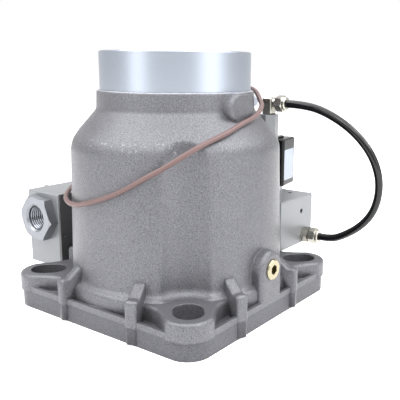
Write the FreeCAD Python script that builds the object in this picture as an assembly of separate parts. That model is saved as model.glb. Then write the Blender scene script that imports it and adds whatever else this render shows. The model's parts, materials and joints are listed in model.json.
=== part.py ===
import FreeCAD, Part
import os
from math import atan2, cos, degrees, hypot, pi, radians, sin, tan
from FreeCAD import Vector

# Intake valve of a rotary screw compressor, in millimetres, +Z up.
# The origin is the centre of the mounting face. +X and -Y are the two flange sides that face the viewer.

# Flange of the casting
FLANGE_HALF = 81.2
FLANGE_CORNER_R = 15.0
PARTING_Z = 11.4
PARTING_STEP = 0.35
POCKET_FLOOR_Z = 12.8
RIM_TOP_Z = 15.5
RIM_WALL = 2.6
LUG_TOP_Z = 23.3
LUG_OVERHANG = 1.2
LUG_SHOULDER = 9.3
LUG_START = 25.0
LUG_WAIST = 34.2
LUG_WAIST_R = 24.0
LUG_FLANK = 18.7
LUG_FLANK_R = 5.0
LUG_EDGE_R = 2.4
SLOT_WIDTH = 18.7
SLOT_LENGTH = 24.2
SLOT_CENTRE_R = 90.75
SCALLOP_R = 23.9
SCALLOP_FOOT_R = 6.0
SCALLOP_RIM_R = 4.0
SCALLOP_WALL = 6.0
SCALLOP_WALL_RISE = 5.0

# Ribs that stiffen the flange
RIB_WIDTH = 8.0
RIB_PROUD = 2.1
RIB_FOOT_Z = 1.0
RIB_TOP_Z = 28.5
RIB_ROOT_Z = 35.0
RIB_STEP = 5.8
RIB_RUN = 7.9
RIB_BEND_R = 2.6
RIB_EDGE_R = 2.0
RIB_NEAR = 29.5
RIB_FAR = 35.5

# Drum, shoulder and neck
RING_R = 79.0
RING_RISE = 3.3
DRUM_FOOT_R = 74.4
RING_EDGE_R = 3.5
RING_BEND_R = 4.0
DRUM_R = 72.0
SHOULDER_Z = 115.2
SHOULDER_BEND_R = 16.0
NECK_FOOT_Z = 135.7
NECK_WALL = 3.55
NECK_TOP_Z = 148.5
NECK_DRAFT = 0.5
NECK_BEND_R = 5.0
NECK_CHAMFER = 1.0
DRUM_WALL = 6.0
OUTLET_R = 60.0
OUTLET_STEP_Z = 8.0
CHAMBER_FOOT_Z = 20.0
CHAMBER_TOP_Z = 106.0
CHAMBER_TAPER = 9.0
CHAMBER_FOOT_BEND_R = 4.0
CHAMBER_ROOF_BEND_R = 8.0

# Inlet pipe and valve seat
PIPE_R = 51.5
PIPE_WALL = 4.5
PIPE_SPIGOT_R = 50.0
PIPE_SEAT_Z = 130.0
PIPE_TOP_Z = 174.0
PIPE_LEAD_IN = 0.5
PIPE_CHAMFER = 0.8
SEAT_Z = 121.9
SEAT_R = 42.5
SEAT_LAND = 4.5
SEAT_RELIEF = 1.5
THROAT_Z = 126.0
O_RING_WIRE = 1.8
O_RING_Z = 139.0
O_RING_ROOM = 1.1

# Servo cylinder in the middle of the chamber
SERVO_R = 25.0
HUB_WALL = 6.0
HUB_FOOT_Z = 22.0
SERVO_ROOF_Z = 80.0
SERVO_ROOF = 10.0
ARM_THICK = 8.0
ARM_FOOT_Z = 46.0
ARM_TOP_Z = 88.0
ARM_COUNT = 3
ARM_ROOT = 0.5
BUSH_WALL = 2.0
BUSH_FLANGE = 2.0
BUSH_FLANGE_T = 1.6
BUSH_EDGE_R = 0.4
COVER_FOOT_Z = 25.6
COVER_T = 4.4
COVER_BOSS_R = 11.0
COVER_BOSS_H = 4.0
COVER_BOSS_DRAFT = 1.0
COVER_BOSS_WALL = 3.0
COVER_VENT_IN = 5.0
RING_GROOVE_DEPTH = 1.3
RING_T = 1.4
RING_RADIAL = 3.2
RING_OPENING = 8.0

# Poppet, drawn closed, with its stroke downwards
STROKE = 20.0
DISC_R = 46.0
DISC_T = 3.2
DISC_FOOT_Z = 113.5
DISC_HUB_WALL = 7.0
DISC_HUB_SPREAD = 5.0
DISC_HUB_BEND_R = 4.0
DISC_RIM = 5.0
DISC_RIM_SLOPE = 3.0
DISC_RIM_BEND_R = 2.0
DISC_RIM_T = 2.6
DISC_EDGE_R = 0.6
SEAL_WIDTH = 3.4
SEAL_T = 2.9
SEAL_EDGE_R = 0.6
SEAL_LIP_R = 0.4
STEM_R = 7.0
STEM_END_R = 5.0
STEM_NUT_T = 5.6
STEM_CHAMFER = 0.8
STEM_PROUD = 1.0
STEM_FOOT_PROUD = 2.0
WASHER_T = 2.0
WASHER_R = 10.5
NUT_FLATS = 16.0
NUT_BEVEL_SLOPE = 0.58
PISTON_T = 10.0
PISTON_PLAY = 0.10
PISTON_CHAMFER = 0.8
PISTON_RING_T = 3.0
PISTON_RING_DEPTH = 2.4
PISTON_RING_PLAY = 0.03
SPRING_WIRE = 2.6
SPRING_R = 14.6
SPRING_TURNS = 5.0

# Hexagon socket plug and the bosses of the casting
PLUG_Z = 35.2
PLUG_BOSS_HALF = 12.4
PLUG_BOSS_EDGE_R = 3.5
PLUG_R = 6.6
PLUG_L = 10.0
PLUG_PROUD = 1.4
PLUG_RIM = 0.3
PLUG_BEVEL = 0.6
PLUG_SOCKET_FLATS = 6.0
PLUG_SOCKET_DEPTH = 5.0
PLUG_SOCKET_TURN = 30.0
NECK_BOSS_Y = -3.0
NECK_BOSS_Z = 138.0
NECK_BOSS_R = 10.3
NECK_BOSS_SPREAD = 2.7
NECK_BOSS_X = 59.0
NECK_BOSS_SUNK = 8.0
NECK_BOSS_EDGE_R = 2.8

# Blow-off block on the left side
PAD_PROUD = 5.7
PAD_Y = (-21.0, 31.0)
PAD_Z = (22.0, 70.0)
PAD_CORNER_R = 6.0
PAD_SUNK = 4.0
SPACER_T = 1.6
BLOCK_WIDTH = 36.5
BLOCK_Y = (-34.9, 45.0)
BLOCK_Z = (10.2, 68.3)
BLOCK_CHAMFER = 0.8
SPOOL_REACH = 20.9
SPOOL_Z = 48.7
PORT_THREAD_R = 13.2
PORT_THREAD_L = 16.0
PORT_PIPE_R = 9.3
PORT_MOUTH_R = 10.8
PORT_HEX_FLATS = 32.0
PORT_HEX_T = 7.5
PORT_HEX_TURN = -7.0
PORT_HEX_BEVEL = 1.1
PORT_HEX_BEVEL_R = 1.9
PASSAGE_R = 8.8
SPOOL_SEAT_Y = -4.0
SPOOL_BORE_R = 11.5
SPOOL_PLAY = 0.05
SPOOL_STROKE = 8.0
SPOOL_HEAD_T = 5.0
SPOOL_HEAD_PLAY = 0.6
SPOOL_NECK_R = 5.0
SPOOL_SKIRT_Y = 9.0
SPOOL_SKIRT_L = 15.0
SPOOL_POCKET_R = 8.0
SPOOL_POCKET_L = 10.0
SPOOL_SPRING_WIRE = 1.4
SPOOL_SPRING_TURNS = 6.0
SPOOL_SPRING_PLAY = 0.4
CAP_THREAD_R = 12.5
CAP_THREAD_L = 9.0
CAP_FLANGE_R = 15.0
CAP_FLANGE_T = 4.3
CAP_BEVEL = 0.8
CAP_SOCKET_FLATS = 10.0
CAP_SOCKET_DEPTH = 6.0
CAP_RING_T = 1.2
CROSS_R = 6.0
CROSS_Y = 3.0
BLOCK_SCREW_R = 2.5
BLOCK_SCREW_HEAD_R = 4.25
BLOCK_SCREW_HEAD_T = 5.0
BLOCK_SCREW_Y = (-14.0, 24.0)
BLOCK_SCREW_Z = (28.0, 63.5)
BLOCK_SCREW_GRIP = 12.0
BLOCK_SCREW_SOCKET = 4.0
PILOT_HOLE_R = 1.3
PILOT_HOLE_Y = -31.8
PILOT_HOLE_Z = 36.2

# Pilot manifold on the back, and its solenoid valve
MANIFOLD_SEAT_Y = 63.0
MANIFOLD_WALL = 7.5
MANIFOLD_WALL_RISE = 7.0
GASKET_T = 0.8
MANIFOLD_X = (-10.0, 47.9)
MANIFOLD_BACK_Y = 113.0
MANIFOLD_Z = (24.5, 63.3)
MANIFOLD_GAP = 0.4
MANIFOLD_SCREW_R = 3.0
MANIFOLD_SCREW_HEAD_R = 5.0
MANIFOLD_SCREW_HEAD_T = 6.0
MANIFOLD_SCREW_X = (2.0, 33.0)
MANIFOLD_SCREW_Z = 43.0
MANIFOLD_SCREW_GRIP = 6.0
MANIFOLD_SCREW_SOCKET = 5.0
MANIFOLD_SCREW_SUNK = 0.5
GRUB_TOP = (32.6, 101.7)
GRUB_SIDE = (95.3, 51.3)
GRUB_R = 2.0
GRUB_L = 4.0
GRUB_SUNK = 0.6
GRUB_SOCKET = 2.0
SOLENOID_X = 17.3
SOLENOID_Y = 102.3
TUBE_THREAD_R = 6.4
TUBE_THREAD_L = 8.3
TUBE_HEX_FLATS = 14.0
TUBE_R = 4.7
TUBE_TOP_Z = 109.4
PLUNGER_R = 3.9
PLUNGER_L = 35.0
PLUNGER_PLAY = 0.08
PLUNGER_STROKE = 2.0
PLUNGER_POCKET_R = 2.8
PLUNGER_POCKET_L = 8.0
PLUNGER_SPRING_WIRE = 0.6
PLUNGER_SPRING_TURNS = 6.0
PLUNGER_SPRING_PLAY = 0.2
ORIFICE_R = 1.2
COIL_SIZE = (25.6, 24.8)
COIL_TURN = 9.0
COIL_Z = (69.5, 107.8)
COIL_CORNER_R = 2.5
COIL_EDGE = 1.0
COIL_NUT_R = 7.0
COIL_NUT_T = 1.5
COIL_NUT_BEVEL = 0.5
GROMMET_Z = 96.0
GROMMET_R = 3.4
GROMMET_TIP_R = 2.4
GROMMET_L = 8.0
GROMMET_RUN = 14.0

# Pilot air line: standpipe, elbow, hose and straight fitting
STANDPIPE_X = 26.0
STANDPIPE_Y = 78.5
STANDPIPE_FLATS = 13.0
STANDPIPE_TURN = -77.5
STANDPIPE_FOOT_Z = 98.0
STANDPIPE_TOP_Z = 128.4
STANDPIPE_BOSS_R = 9.0
STANDPIPE_BOSS_Z = 80.0
STANDPIPE_BOSS_FOOT_Z = 60.0
SPIGOT_R = 4.8
SPIGOT_L = 9.0
AIR_R = 2.0
SERVO_PORT_Z = 78.0
ELBOW_HALF = 4.2
ELBOW_EDGE_R = 1.4
ELBOW_AXIS_Z = 137.0
ELBOW_SPIGOT_R = 3.2
ELBOW_SPIGOT_L = 7.0
ELBOW_ARM_R = 3.7
ELBOW_ARM_END_X = 38.0
FITTING_FLATS = 11.0
ELBOW_NUT_X = (33.7, 42.1)
NUT_HEX_SHARE = 0.72
NUT_TURN = 15.0
NUT_BEVEL = 0.6
COLLAR_STEP = 0.4
COLLAR_BEVEL = 0.7
STRAIGHT_Y = 100.5
STRAIGHT_Z = 31.2
STRAIGHT_PORT_R = 4.9
STRAIGHT_PORT_L = 8.0
STRAIGHT_HEX_T = 5.3
STRAIGHT_NUT_X = (54.1, 62.3)
STRAIGHT_STUB_L = 5.0
HOSE_R = 3.0
LEAD_R = 1.6
ARC_SHARE = 0.45

# Clearances
FIT = 0.05
SCREW_PLAY = 0.3

# Lead connector, a small round nylon housing beside the neck
CONNECTOR_ANGLE = 63.0
CONNECTOR_AXIS_R = 57.4
CONNECTOR_Z = 139.9
CONNECTOR_R = 3.4
CONNECTOR_L = 16.0
CONNECTOR_BEVEL = 0.6
CONNECTOR_RUN = 9.0

# Route of the pilot hose, chosen by eye from its end on the elbow to its end on the manifold
HOSE_ROUTE = [
    (42.1, 78.5, 137.0),
    (60.2, 78.5, 137.0),
    (80.4, 81.5, 129.5),
    (98.4, 84.1, 117.1),
    (110.7, 87.1, 101.0),
    (115.1, 91.0, 81.7),
    (110.5, 95.0, 61.4),
    (99.2, 97.3, 46.5),
    (82.4, 99.8, 35.2),
    (72.0, 100.5, 31.2),
    (62.3, 100.5, 31.2),
]

# Route of the coil lead as (angle, radius, height), from the connector round the body to the coil
LEAD_ROUTE = [
    (91.0, 63.6, 139.6),
    (100.0, 67.6, 140.9),
    (103.5, 70.0, 145.0),
    (100.0, 69.2, 149.5),
    (91.0, 65.6, 151.0),
    (80.0, 62.2, 150.4),
    (66.5, 59.3, 149.2),
    (54.4, 58.1, 147.8),
    (46.9, 58.1, 144.8),
    (40.3, 58.3, 141.6),
    (31.5, 59.6, 139.0),
    (19.0, 60.3, 136.3),
    (7.2, 61.3, 132.5),
    (-9.4, 63.6, 129.4),
    (-21.2, 66.9, 124.8),
    (-30.6, 69.7, 121.6),
    (-41.8, 75.2, 116.2),
    (-53.3, 76.6, 106.8),
    (-62.3, 76.8, 100.4),
    (-71.4, 76.5, 93.1),
    (-79.7, 76.2, 87.7),
    (-90.4, 76.3, 82.5),
    (-98.0, 76.2, 79.5),
    (-105.7, 76.2, 77.0),
    (-115.7, 76.6, 75.8),
    (-127.8, 76.9, 76.3),
    (-141.2, 76.8, 76.8),
    (-152.6, 77.2, 79.0),
    (-166.9, 78.2, 81.0),
    (178.2, 79.7, 82.9),
    (162.3, 81.4, 85.4),
    (145.2, 85.2, 88.1),
    (128.3, 91.1, 91.8),
    (112.2, 104.0, 95.4),
]

# Values that follow from the sizes above
BORE_R = PIPE_SPIGOT_R + FIT
PIPE_BORE_R = PIPE_R - PIPE_WALL
NECK_R = BORE_R + NECK_WALL
CHAMBER_R = DRUM_R - DRUM_WALL
SLOT_XY = SLOT_CENTRE_R * cos(pi / 4)
LUG_OUT = FLANGE_HALF + LUG_OVERHANG
LUG_IN = FLANGE_HALF - LUG_SHOULDER
RIB_OUT = FLANGE_HALF + RIB_PROUD
RIB_STEP_R = RIB_OUT - RIB_STEP
UPPER_HALF = FLANGE_HALF + PARTING_STEP
PAD_X = -FLANGE_HALF - PAD_PROUD
SPOOL_X = PAD_X - SPOOL_REACH
PIPE_SEAT_R = SEAT_R + SEAT_LAND
BUSH_R = STEM_R + BUSH_WALL
PISTON_TOP_Z = SERVO_ROOF_Z - 2 * AIR_R
PISTON_FOOT_Z = PISTON_TOP_Z - PISTON_T
DISC_TOP_Z = SEAT_Z - 0.5
BLOCK_X = (PAD_X - SPACER_T - BLOCK_WIDTH, PAD_X - SPACER_T)
SPOOL_SKIRT_END = SPOOL_SKIRT_Y + SPOOL_SKIRT_L
CAP_FOOT_Y = BLOCK_Y[1] - CAP_THREAD_L
MANIFOLD_FRONT_Y = MANIFOLD_SEAT_Y + GASKET_T
PLUNGER_FOOT_Z = MANIFOLD_Z[1] - TUBE_THREAD_L
PLUNGER_TOP_Z = PLUNGER_FOOT_Z + PLUNGER_L
TUBE_BORE_TOP_Z = PLUNGER_TOP_Z + PLUNGER_POCKET_L
STANDPIPE_REACH = hypot(STANDPIPE_X, STANDPIPE_Y)
STANDPIPE_ANGLE = degrees(atan2(STANDPIPE_Y, STANDPIPE_X))
GROMMET_TIP_X = -COIL_SIZE[0] / 2 - GROMMET_L
STRAIGHT_HEX_END = MANIFOLD_X[1] + STRAIGHT_HEX_T
STRAIGHT_STUB_END = STRAIGHT_HEX_END + STRAIGHT_STUB_L
MANIFOLD_HEAD_Y = MANIFOLD_BACK_Y - MANIFOLD_SCREW_HEAD_T - MANIFOLD_SCREW_SUNK


def cylinder(radius, low, high, x=0.0, y=0.0):
    return Part.makeCylinder(radius, high - low, Vector(x, y, low))


def cylinder_x(radius, start, end, y=0.0, z=0.0):
    return Part.makeCylinder(radius, end - start, Vector(start, y, z), Vector(1, 0, 0))


def cylinder_y(radius, start, end, x=0.0, z=0.0):
    return Part.makeCylinder(radius, end - start, Vector(x, start, z), Vector(0, 1, 0))


def cone_x(radius, end_radius, start, end, y=0.0, z=0.0):
    return Part.makeCone(radius, end_radius, end - start, Vector(start, y, z), Vector(1, 0, 0))


def cone_y(radius, end_radius, start, end, x=0.0, z=0.0):
    return Part.makeCone(radius, end_radius, end - start, Vector(x, start, z), Vector(0, 1, 0))


def cone(radius, end_radius, low, high, x=0.0, y=0.0):
    return Part.makeCone(radius, end_radius, high - low, Vector(x, y, low))


def block(xs, ys, zs):
    return Part.makeBox(xs[1] - xs[0], ys[1] - ys[0], zs[1] - zs[0], Vector(xs[0], ys[0], zs[0]))


def turned(shape, angle):
    copy = shape.copy()
    copy.rotate(Vector(0, 0, 0), Vector(0, 0, 1), angle)
    return copy


def path_edges(points, radii, closed):
    """Straight runs joined by tangent arcs, one radius for each point."""
    count = len(points)
    joints = []
    for i, point in enumerate(points):
        radius = radii[i]
        if radius <= 0 or (not closed and i in (0, count - 1)):
            joints.append((point, None, point))
            continue
        back = (points[i - 1] - point).normalize()
        ahead = (points[(i + 1) % count] - point).normalize()
        half = back.getAngle(ahead) / 2
        inward = (back + ahead).normalize()
        reach = radius / tan(half)
        middle = point + inward * (radius / sin(half) - radius)
        joints.append((point + back * reach, middle, point + ahead * reach))
    edges = []
    for i, (start, middle, end) in enumerate(joints):
        if middle is not None:
            edges.append(Part.Arc(start, middle, end).toShape())
        if i < count - 1 or closed:
            following = joints[(i + 1) % count][0]
            if (following - end).Length > 1e-6:
                edges.append(Part.LineSegment(end, following).toShape())
    return edges


def outline_face(corners, place):
    """Face inside a closed outline of (a, b, radius) corners, put in space by place(a, b)."""
    points = [place(a, b) for a, b, radius in corners]
    radii = [radius for a, b, radius in corners]
    wire = Part.Wire(Part.__sortEdges__(path_edges(points, radii, True)))
    return Part.Face(wire)


def on_plan(height):
    return lambda x, y: Vector(x, y, height)


def half_section(r, z):
    return Vector(r, 0, z)


def revolved(corners):
    """Turned shape from a half section of (radius, height, corner radius)."""
    return outline_face(corners, half_section).revolve(Vector(0, 0, 0), Vector(0, 0, 1), 360)


def plate(half, corner, low, high):
    corners = [(half, half, corner), (-half, half, corner), (-half, -half, corner), (half, -half, corner)]
    return outline_face(corners, on_plan(low)).extrude(Vector(0, 0, high - low))


def hexagon(flats, turn, place, direction):
    """Hexagonal bar; place(a, b) puts its section in space and direction is its length."""
    radius = flats / 2 / cos(pi / 6)
    angles = [radians(turn + 60 * i) for i in range(6)]
    corners = [(radius * cos(angle), radius * sin(angle), 0) for angle in angles]
    return outline_face(corners, place).extrude(direction)


def hexagon_x(flats, start, end, y, z, turn=0.0):
    return hexagon(flats, turn, lambda a, b: Vector(start, y + a, z + b), Vector(end - start, 0, 0))


def hexagon_y(flats, start, end, x, z, turn=0.0):
    return hexagon(flats, turn, lambda a, b: Vector(x + a, start, z + b), Vector(0, end - start, 0))


def hexagon_z(flats, low, high, x=0.0, y=0.0, turn=0.0):
    return hexagon(flats, turn, lambda a, b: Vector(x + a, y + b, low), Vector(0, 0, high - low))


def edges_where(shape, test):
    return [edge for edge in shape.Edges if test(edge)]


def edge_at(edge, axis, value):
    """True where the whole edge lies at one value of an axis (0, 1 or 2)."""
    box = edge.BoundBox
    low = (box.XMin, box.YMin, box.ZMin)[axis]
    high = (box.XMax, box.YMax, box.ZMax)[axis]
    return abs(low - value) < 0.01 and abs(high - value) < 0.01


def milled_block(xs, ys, zs, chamfer):
    shape = block(xs, ys, zs)
    return shape.makeChamfer(chamfer, shape.Edges)


def coil_spring(wire, radius, low, high, turns, origin, direction):
    """Round wire spring between two heights along its axis."""
    rise = high - low - wire
    helix = Part.makeHelix(rise / turns, rise, radius)
    section = Part.Wire(Part.Circle(Vector(radius, 0, 0), Vector(0, 1, 0), wire / 2).toShape())
    spring = Part.Wire(helix).makePipeShell([section], True, True)
    spring.translate(Vector(0, 0, low + wire / 2))
    spring.Placement = FreeCAD.Placement(
        origin, FreeCAD.Rotation(Vector(0, 0, 1), direction)).multiply(spring.Placement)
    return spring


def slot_cutter(low, high):
    """Slot along the diagonal of the front right corner."""
    radius = SLOT_WIDTH / 2
    half = SLOT_LENGTH / 2 - radius
    xs = (SLOT_CENTRE_R - half, SLOT_CENTRE_R + half)
    ends = [cylinder(radius, low, high, x) for x in xs]
    middle = block(xs, (-radius, radius), (low, high))
    return turned(middle.fuse(ends), 45)


def lug():
    """Raised corner pad, with its waist where it meets the ring."""
    side = [
        (LUG_IN, LUG_START, 0),
        (LUG_IN, FLANGE_HALF - LUG_WAIST, LUG_WAIST_R),
        (LUG_OUT, FLANGE_HALF - LUG_FLANK, LUG_FLANK_R),
    ]
    corners = [(LUG_START, LUG_START, 0)] + side + [(LUG_OUT, LUG_OUT, FLANGE_CORNER_R + 1)]
    corners += [(b, a, radius) for a, b, radius in reversed(side)]
    shape = outline_face(corners, on_plan(PARTING_Z)).extrude(Vector(0, 0, LUG_TOP_Z - PARTING_Z))
    rounded = edges_where(shape, lambda e: (
        edge_at(e, 2, LUG_TOP_Z) and max(e.CenterOfMass[:2]) > LUG_IN - 0.1))
    return shape.makeFillet(LUG_EDGE_R, rounded)


def rib(offset):
    """Stepped radial rib on the +X side; offset is measured along that side from its middle."""
    root = OUTLET_R
    profile = [
        (root, RIB_FOOT_Z, 0),
        (RIB_OUT, RIB_FOOT_Z, 0),
        (RIB_OUT, RIB_TOP_Z, RIB_BEND_R),
        (RIB_STEP_R, RIB_TOP_Z, RIB_BEND_R),
        (RIB_OUT - RIB_RUN, RIB_ROOT_Z, RIB_BEND_R),
        (root, RIB_ROOT_Z, 0),
    ]
    face = outline_face(profile, lambda x, z: Vector(x, -RIB_WIDTH / 2, z))
    shape = face.extrude(Vector(0, RIB_WIDTH, 0))
    rounded = edges_where(shape, lambda e: (
        abs(e.CenterOfMass.y) > RIB_WIDTH / 2 - 0.1
        and not edge_at(e, 0, root) and not edge_at(e, 2, RIB_FOOT_Z)))
    return turned(shape.makeFillet(RIB_EDGE_R, rounded), degrees(atan2(offset, RIB_OUT)))


def drum():
    """Turned outside of the casting from the ring at the flange to the top of the neck."""
    return revolved([
        (0, PARTING_Z, 0),
        (RING_R, PARTING_Z, 0),
        (RING_R, LUG_TOP_Z, RING_EDGE_R),
        (DRUM_FOOT_R, LUG_TOP_Z + RING_RISE, RING_BEND_R),
        (DRUM_R, SHOULDER_Z, SHOULDER_BEND_R),
        (NECK_R + NECK_DRAFT, NECK_FOOT_Z, NECK_BEND_R),
        (NECK_R, NECK_TOP_Z - NECK_CHAMFER, 0),
        (NECK_R - NECK_CHAMFER, NECK_TOP_Z, 0),
        (0, NECK_TOP_Z, 0),
    ])


def chamber():
    """Space inside the casting: outlet, chamber, seat, throat and the bore that takes the pipe."""
    return revolved([
        (0, -1, 0),
        (OUTLET_R, -1, 0),
        (OUTLET_R, OUTLET_STEP_Z, 0),
        (CHAMBER_R, CHAMBER_FOOT_Z, CHAMBER_FOOT_BEND_R),
        (CHAMBER_R, CHAMBER_TOP_Z, CHAMBER_ROOF_BEND_R),
        (CHAMBER_R - CHAMBER_TAPER, SEAT_Z, 0),
        (CHAMBER_R - CHAMBER_TAPER, SEAT_Z + SEAT_RELIEF, 0),
        (PIPE_SEAT_R, SEAT_Z + SEAT_RELIEF, 0),
        (PIPE_SEAT_R, SEAT_Z, 0),
        (SEAT_R, SEAT_Z, 0),
        (SEAT_R, THROAT_Z, 0),
        (PIPE_BORE_R - 0.5, PIPE_SEAT_Z, 0),
        (BORE_R, PIPE_SEAT_Z, 0),
        (BORE_R, NECK_TOP_Z - PIPE_LEAD_IN, 0),
        (BORE_R + PIPE_LEAD_IN, NECK_TOP_Z + 0.01, 0),
        (0, NECK_TOP_Z + 0.01, 0),
    ])


def plug_boss():
    """Arched boss that carries the drain plug, flush with the flange side."""
    shape = block((OUTLET_R, UPPER_HALF), (-PLUG_BOSS_HALF, PLUG_BOSS_HALF), (PARTING_Z, PLUG_Z))
    shape = shape.fuse(cylinder_x(PLUG_BOSS_HALF, OUTLET_R, UPPER_HALF, 0, PLUG_Z)).removeSplitter()
    rim = edges_where(shape, lambda e: edge_at(e, 0, UPPER_HALF) and not edge_at(e, 2, PARTING_Z))
    return shape.makeFillet(PLUG_BOSS_EDGE_R, rim)


def neck_boss():
    """Oval blind boss on the neck."""
    xs = (NECK_R - NECK_BOSS_SUNK, NECK_BOSS_X)
    low = cylinder_x(NECK_BOSS_R, xs[0], xs[1], NECK_BOSS_Y - NECK_BOSS_SPREAD, NECK_BOSS_Z)
    high = cylinder_x(NECK_BOSS_R, xs[0], xs[1], NECK_BOSS_Y + NECK_BOSS_SPREAD, NECK_BOSS_Z)
    middle = block(
        xs,
        (NECK_BOSS_Y - NECK_BOSS_SPREAD, NECK_BOSS_Y + NECK_BOSS_SPREAD),
        (NECK_BOSS_Z - NECK_BOSS_R, NECK_BOSS_Z + NECK_BOSS_R))
    shape = low.fuse([high, middle]).removeSplitter()
    rim = edges_where(shape, lambda e: edge_at(e, 0, NECK_BOSS_X))
    return shape.makeFillet(NECK_BOSS_EDGE_R, rim)


def blowoff_pad():
    """Machined pad on the left that the blow-off block is screwed to."""
    corners = [
        (PAD_Y[0], PAD_Z[0], PAD_CORNER_R),
        (PAD_Y[1], PAD_Z[0], PAD_CORNER_R),
        (PAD_Y[1], PAD_Z[1], PAD_CORNER_R),
        (PAD_Y[0], PAD_Z[1], PAD_CORNER_R),
    ]
    face = outline_face(corners, lambda y, z: Vector(PAD_X, y, z))
    return face.extrude(Vector(-PAD_X - CHAMBER_R + PAD_SUNK, 0, 0))


def standpipe_boss():
    """Boss on the back of the drum that takes the standpipe, tapered below."""
    zs = (STANDPIPE_BOSS_FOOT_Z, STANDPIPE_FOOT_Z)
    web = block((CHAMBER_R + 2, STANDPIPE_REACH), (-STANDPIPE_BOSS_R, STANDPIPE_BOSS_R), zs)
    web = web.fuse(cylinder(STANDPIPE_BOSS_R, zs[0], zs[1], STANDPIPE_REACH))
    tip = STANDPIPE_REACH + STANDPIPE_BOSS_R
    envelope = revolved([
        (0, zs[0], 0),
        (DRUM_R + 1, zs[0], 0),
        (tip + 0.1, STANDPIPE_BOSS_Z, 0),
        (tip + 0.1, zs[1], 0),
        (0, zs[1], 0),
    ])
    return turned(web.common(envelope), STANDPIPE_ANGLE)


def hub():
    """Servo cylinder body and the arms that hold it in the chamber."""
    shape = cylinder(SERVO_R + HUB_WALL, HUB_FOOT_Z, SERVO_ROOF_Z + SERVO_ROOF)
    for i in range(ARM_COUNT):
        arm = block(
            (SERVO_R + HUB_WALL / 2, CHAMBER_R + ARM_ROOT),
            (-ARM_THICK / 2, ARM_THICK / 2),
            (ARM_FOOT_Z, ARM_TOP_Z))
        shape = shape.fuse(turned(arm, STANDPIPE_ANGLE + 360 / ARM_COUNT * i))
    return shape


def chamber_cutter():
    """Chamber, kept clear of the scallops and of the flat seat of the manifold."""
    cutter = chamber()
    for x, y in ((1, 1), (-1, 1), (-1, -1), (1, -1)):
        top = SHOULDER_Z + SCALLOP_WALL_RISE
        post = cylinder(SCALLOP_R + SCALLOP_WALL, -2, top, x * SLOT_XY, y * SLOT_XY)
        cutter = cutter.cut(post)
    wall = block(
        (-CHAMBER_R, CHAMBER_R),
        (MANIFOLD_SEAT_Y - MANIFOLD_WALL, DRUM_R),
        (CHAMBER_FOOT_Z - 2, MANIFOLD_Z[1] + MANIFOLD_WALL_RISE))
    return cutter.cut(wall)


def scallop():
    """Vertical hollow that clears the flange nut, rounded at its foot."""
    shape = cylinder(SCALLOP_R, LUG_TOP_Z, NECK_TOP_Z, SLOT_XY, SLOT_XY)
    foot = edges_where(shape, lambda e: edge_at(e, 2, LUG_TOP_Z))
    return shape.makeFillet(SCALLOP_FOOT_R, foot)


def scalloped_drum():
    """Drum with its four hollows; their upright rims are rounded."""
    shape = drum().cut([turned(scallop(), turn) for turn in (0, 90, 180, 270)])
    rims = edges_where(shape, lambda e: (
        e.BoundBox.ZLength > (SHOULDER_Z - LUG_TOP_Z) / 2
        and abs(e.CenterOfMass.x) > 1 and abs(e.CenterOfMass.y) > 1))
    return shape.makeFillet(SCALLOP_RIM_R, rims)


def manifold_seat():
    """Room that is milled away for the pilot block, down to its flat seat on the drum."""
    return block(
        (MANIFOLD_X[0] - MANIFOLD_GAP, MANIFOLD_X[1] + MANIFOLD_GAP),
        (MANIFOLD_SEAT_Y, MANIFOLD_BACK_Y),
        (MANIFOLD_Z[0] - MANIFOLD_GAP, MANIFOLD_Z[1] + MANIFOLD_GAP))


def casting_holes():
    """Bores and screw holes of the casting."""
    roof_z = SERVO_ROOF_Z + SERVO_ROOF
    spigot_z = STANDPIPE_FOOT_Z - SPIGOT_L - FIT
    holes = [
        cylinder(SERVO_R, HUB_FOOT_Z - 1, SERVO_ROOF_Z),
        cylinder(BUSH_R + FIT, SERVO_ROOF_Z - 1, roof_z + 1),
        cylinder(SERVO_R + RING_GROOVE_DEPTH, COVER_FOOT_Z - RING_T - 2 * FIT, COVER_FOOT_Z),
        cylinder_x(PLUG_R + FIT, OUTLET_R, FLANGE_HALF + 2, 0, PLUG_Z),
        cylinder_x(CROSS_R, PAD_X - 1, -CHAMBER_R + 2, CROSS_Y, SPOOL_Z),
        cylinder(SPIGOT_R + FIT, spigot_z, STANDPIPE_FOOT_Z + 1, STANDPIPE_X, STANDPIPE_Y),
        cylinder(AIR_R, SERVO_PORT_Z, STANDPIPE_FOOT_Z, STANDPIPE_X, STANDPIPE_Y),
        turned(cylinder_x(AIR_R, SERVO_R - 1, STANDPIPE_REACH, 0, SERVO_PORT_Z), STANDPIPE_ANGLE),
        cylinder_y(AIR_R, MANIFOLD_SEAT_Y - MANIFOLD_WALL - 1, MANIFOLD_SEAT_Y + 1, SOLENOID_X, STRAIGHT_Z),
    ]
    for y in BLOCK_SCREW_Y:
        for z in BLOCK_SCREW_Z:
            holes.append(cylinder_x(BLOCK_SCREW_R + FIT, PAD_X - 1, PAD_X + BLOCK_SCREW_GRIP + 1, y, z))
    start = MANIFOLD_SEAT_Y - MANIFOLD_SCREW_GRIP - 0.5
    for x in MANIFOLD_SCREW_X:
        holes.append(cylinder_y(MANIFOLD_SCREW_R + FIT, start, MANIFOLD_SEAT_Y + 1, x, MANIFOLD_SCREW_Z))
    return holes


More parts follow.
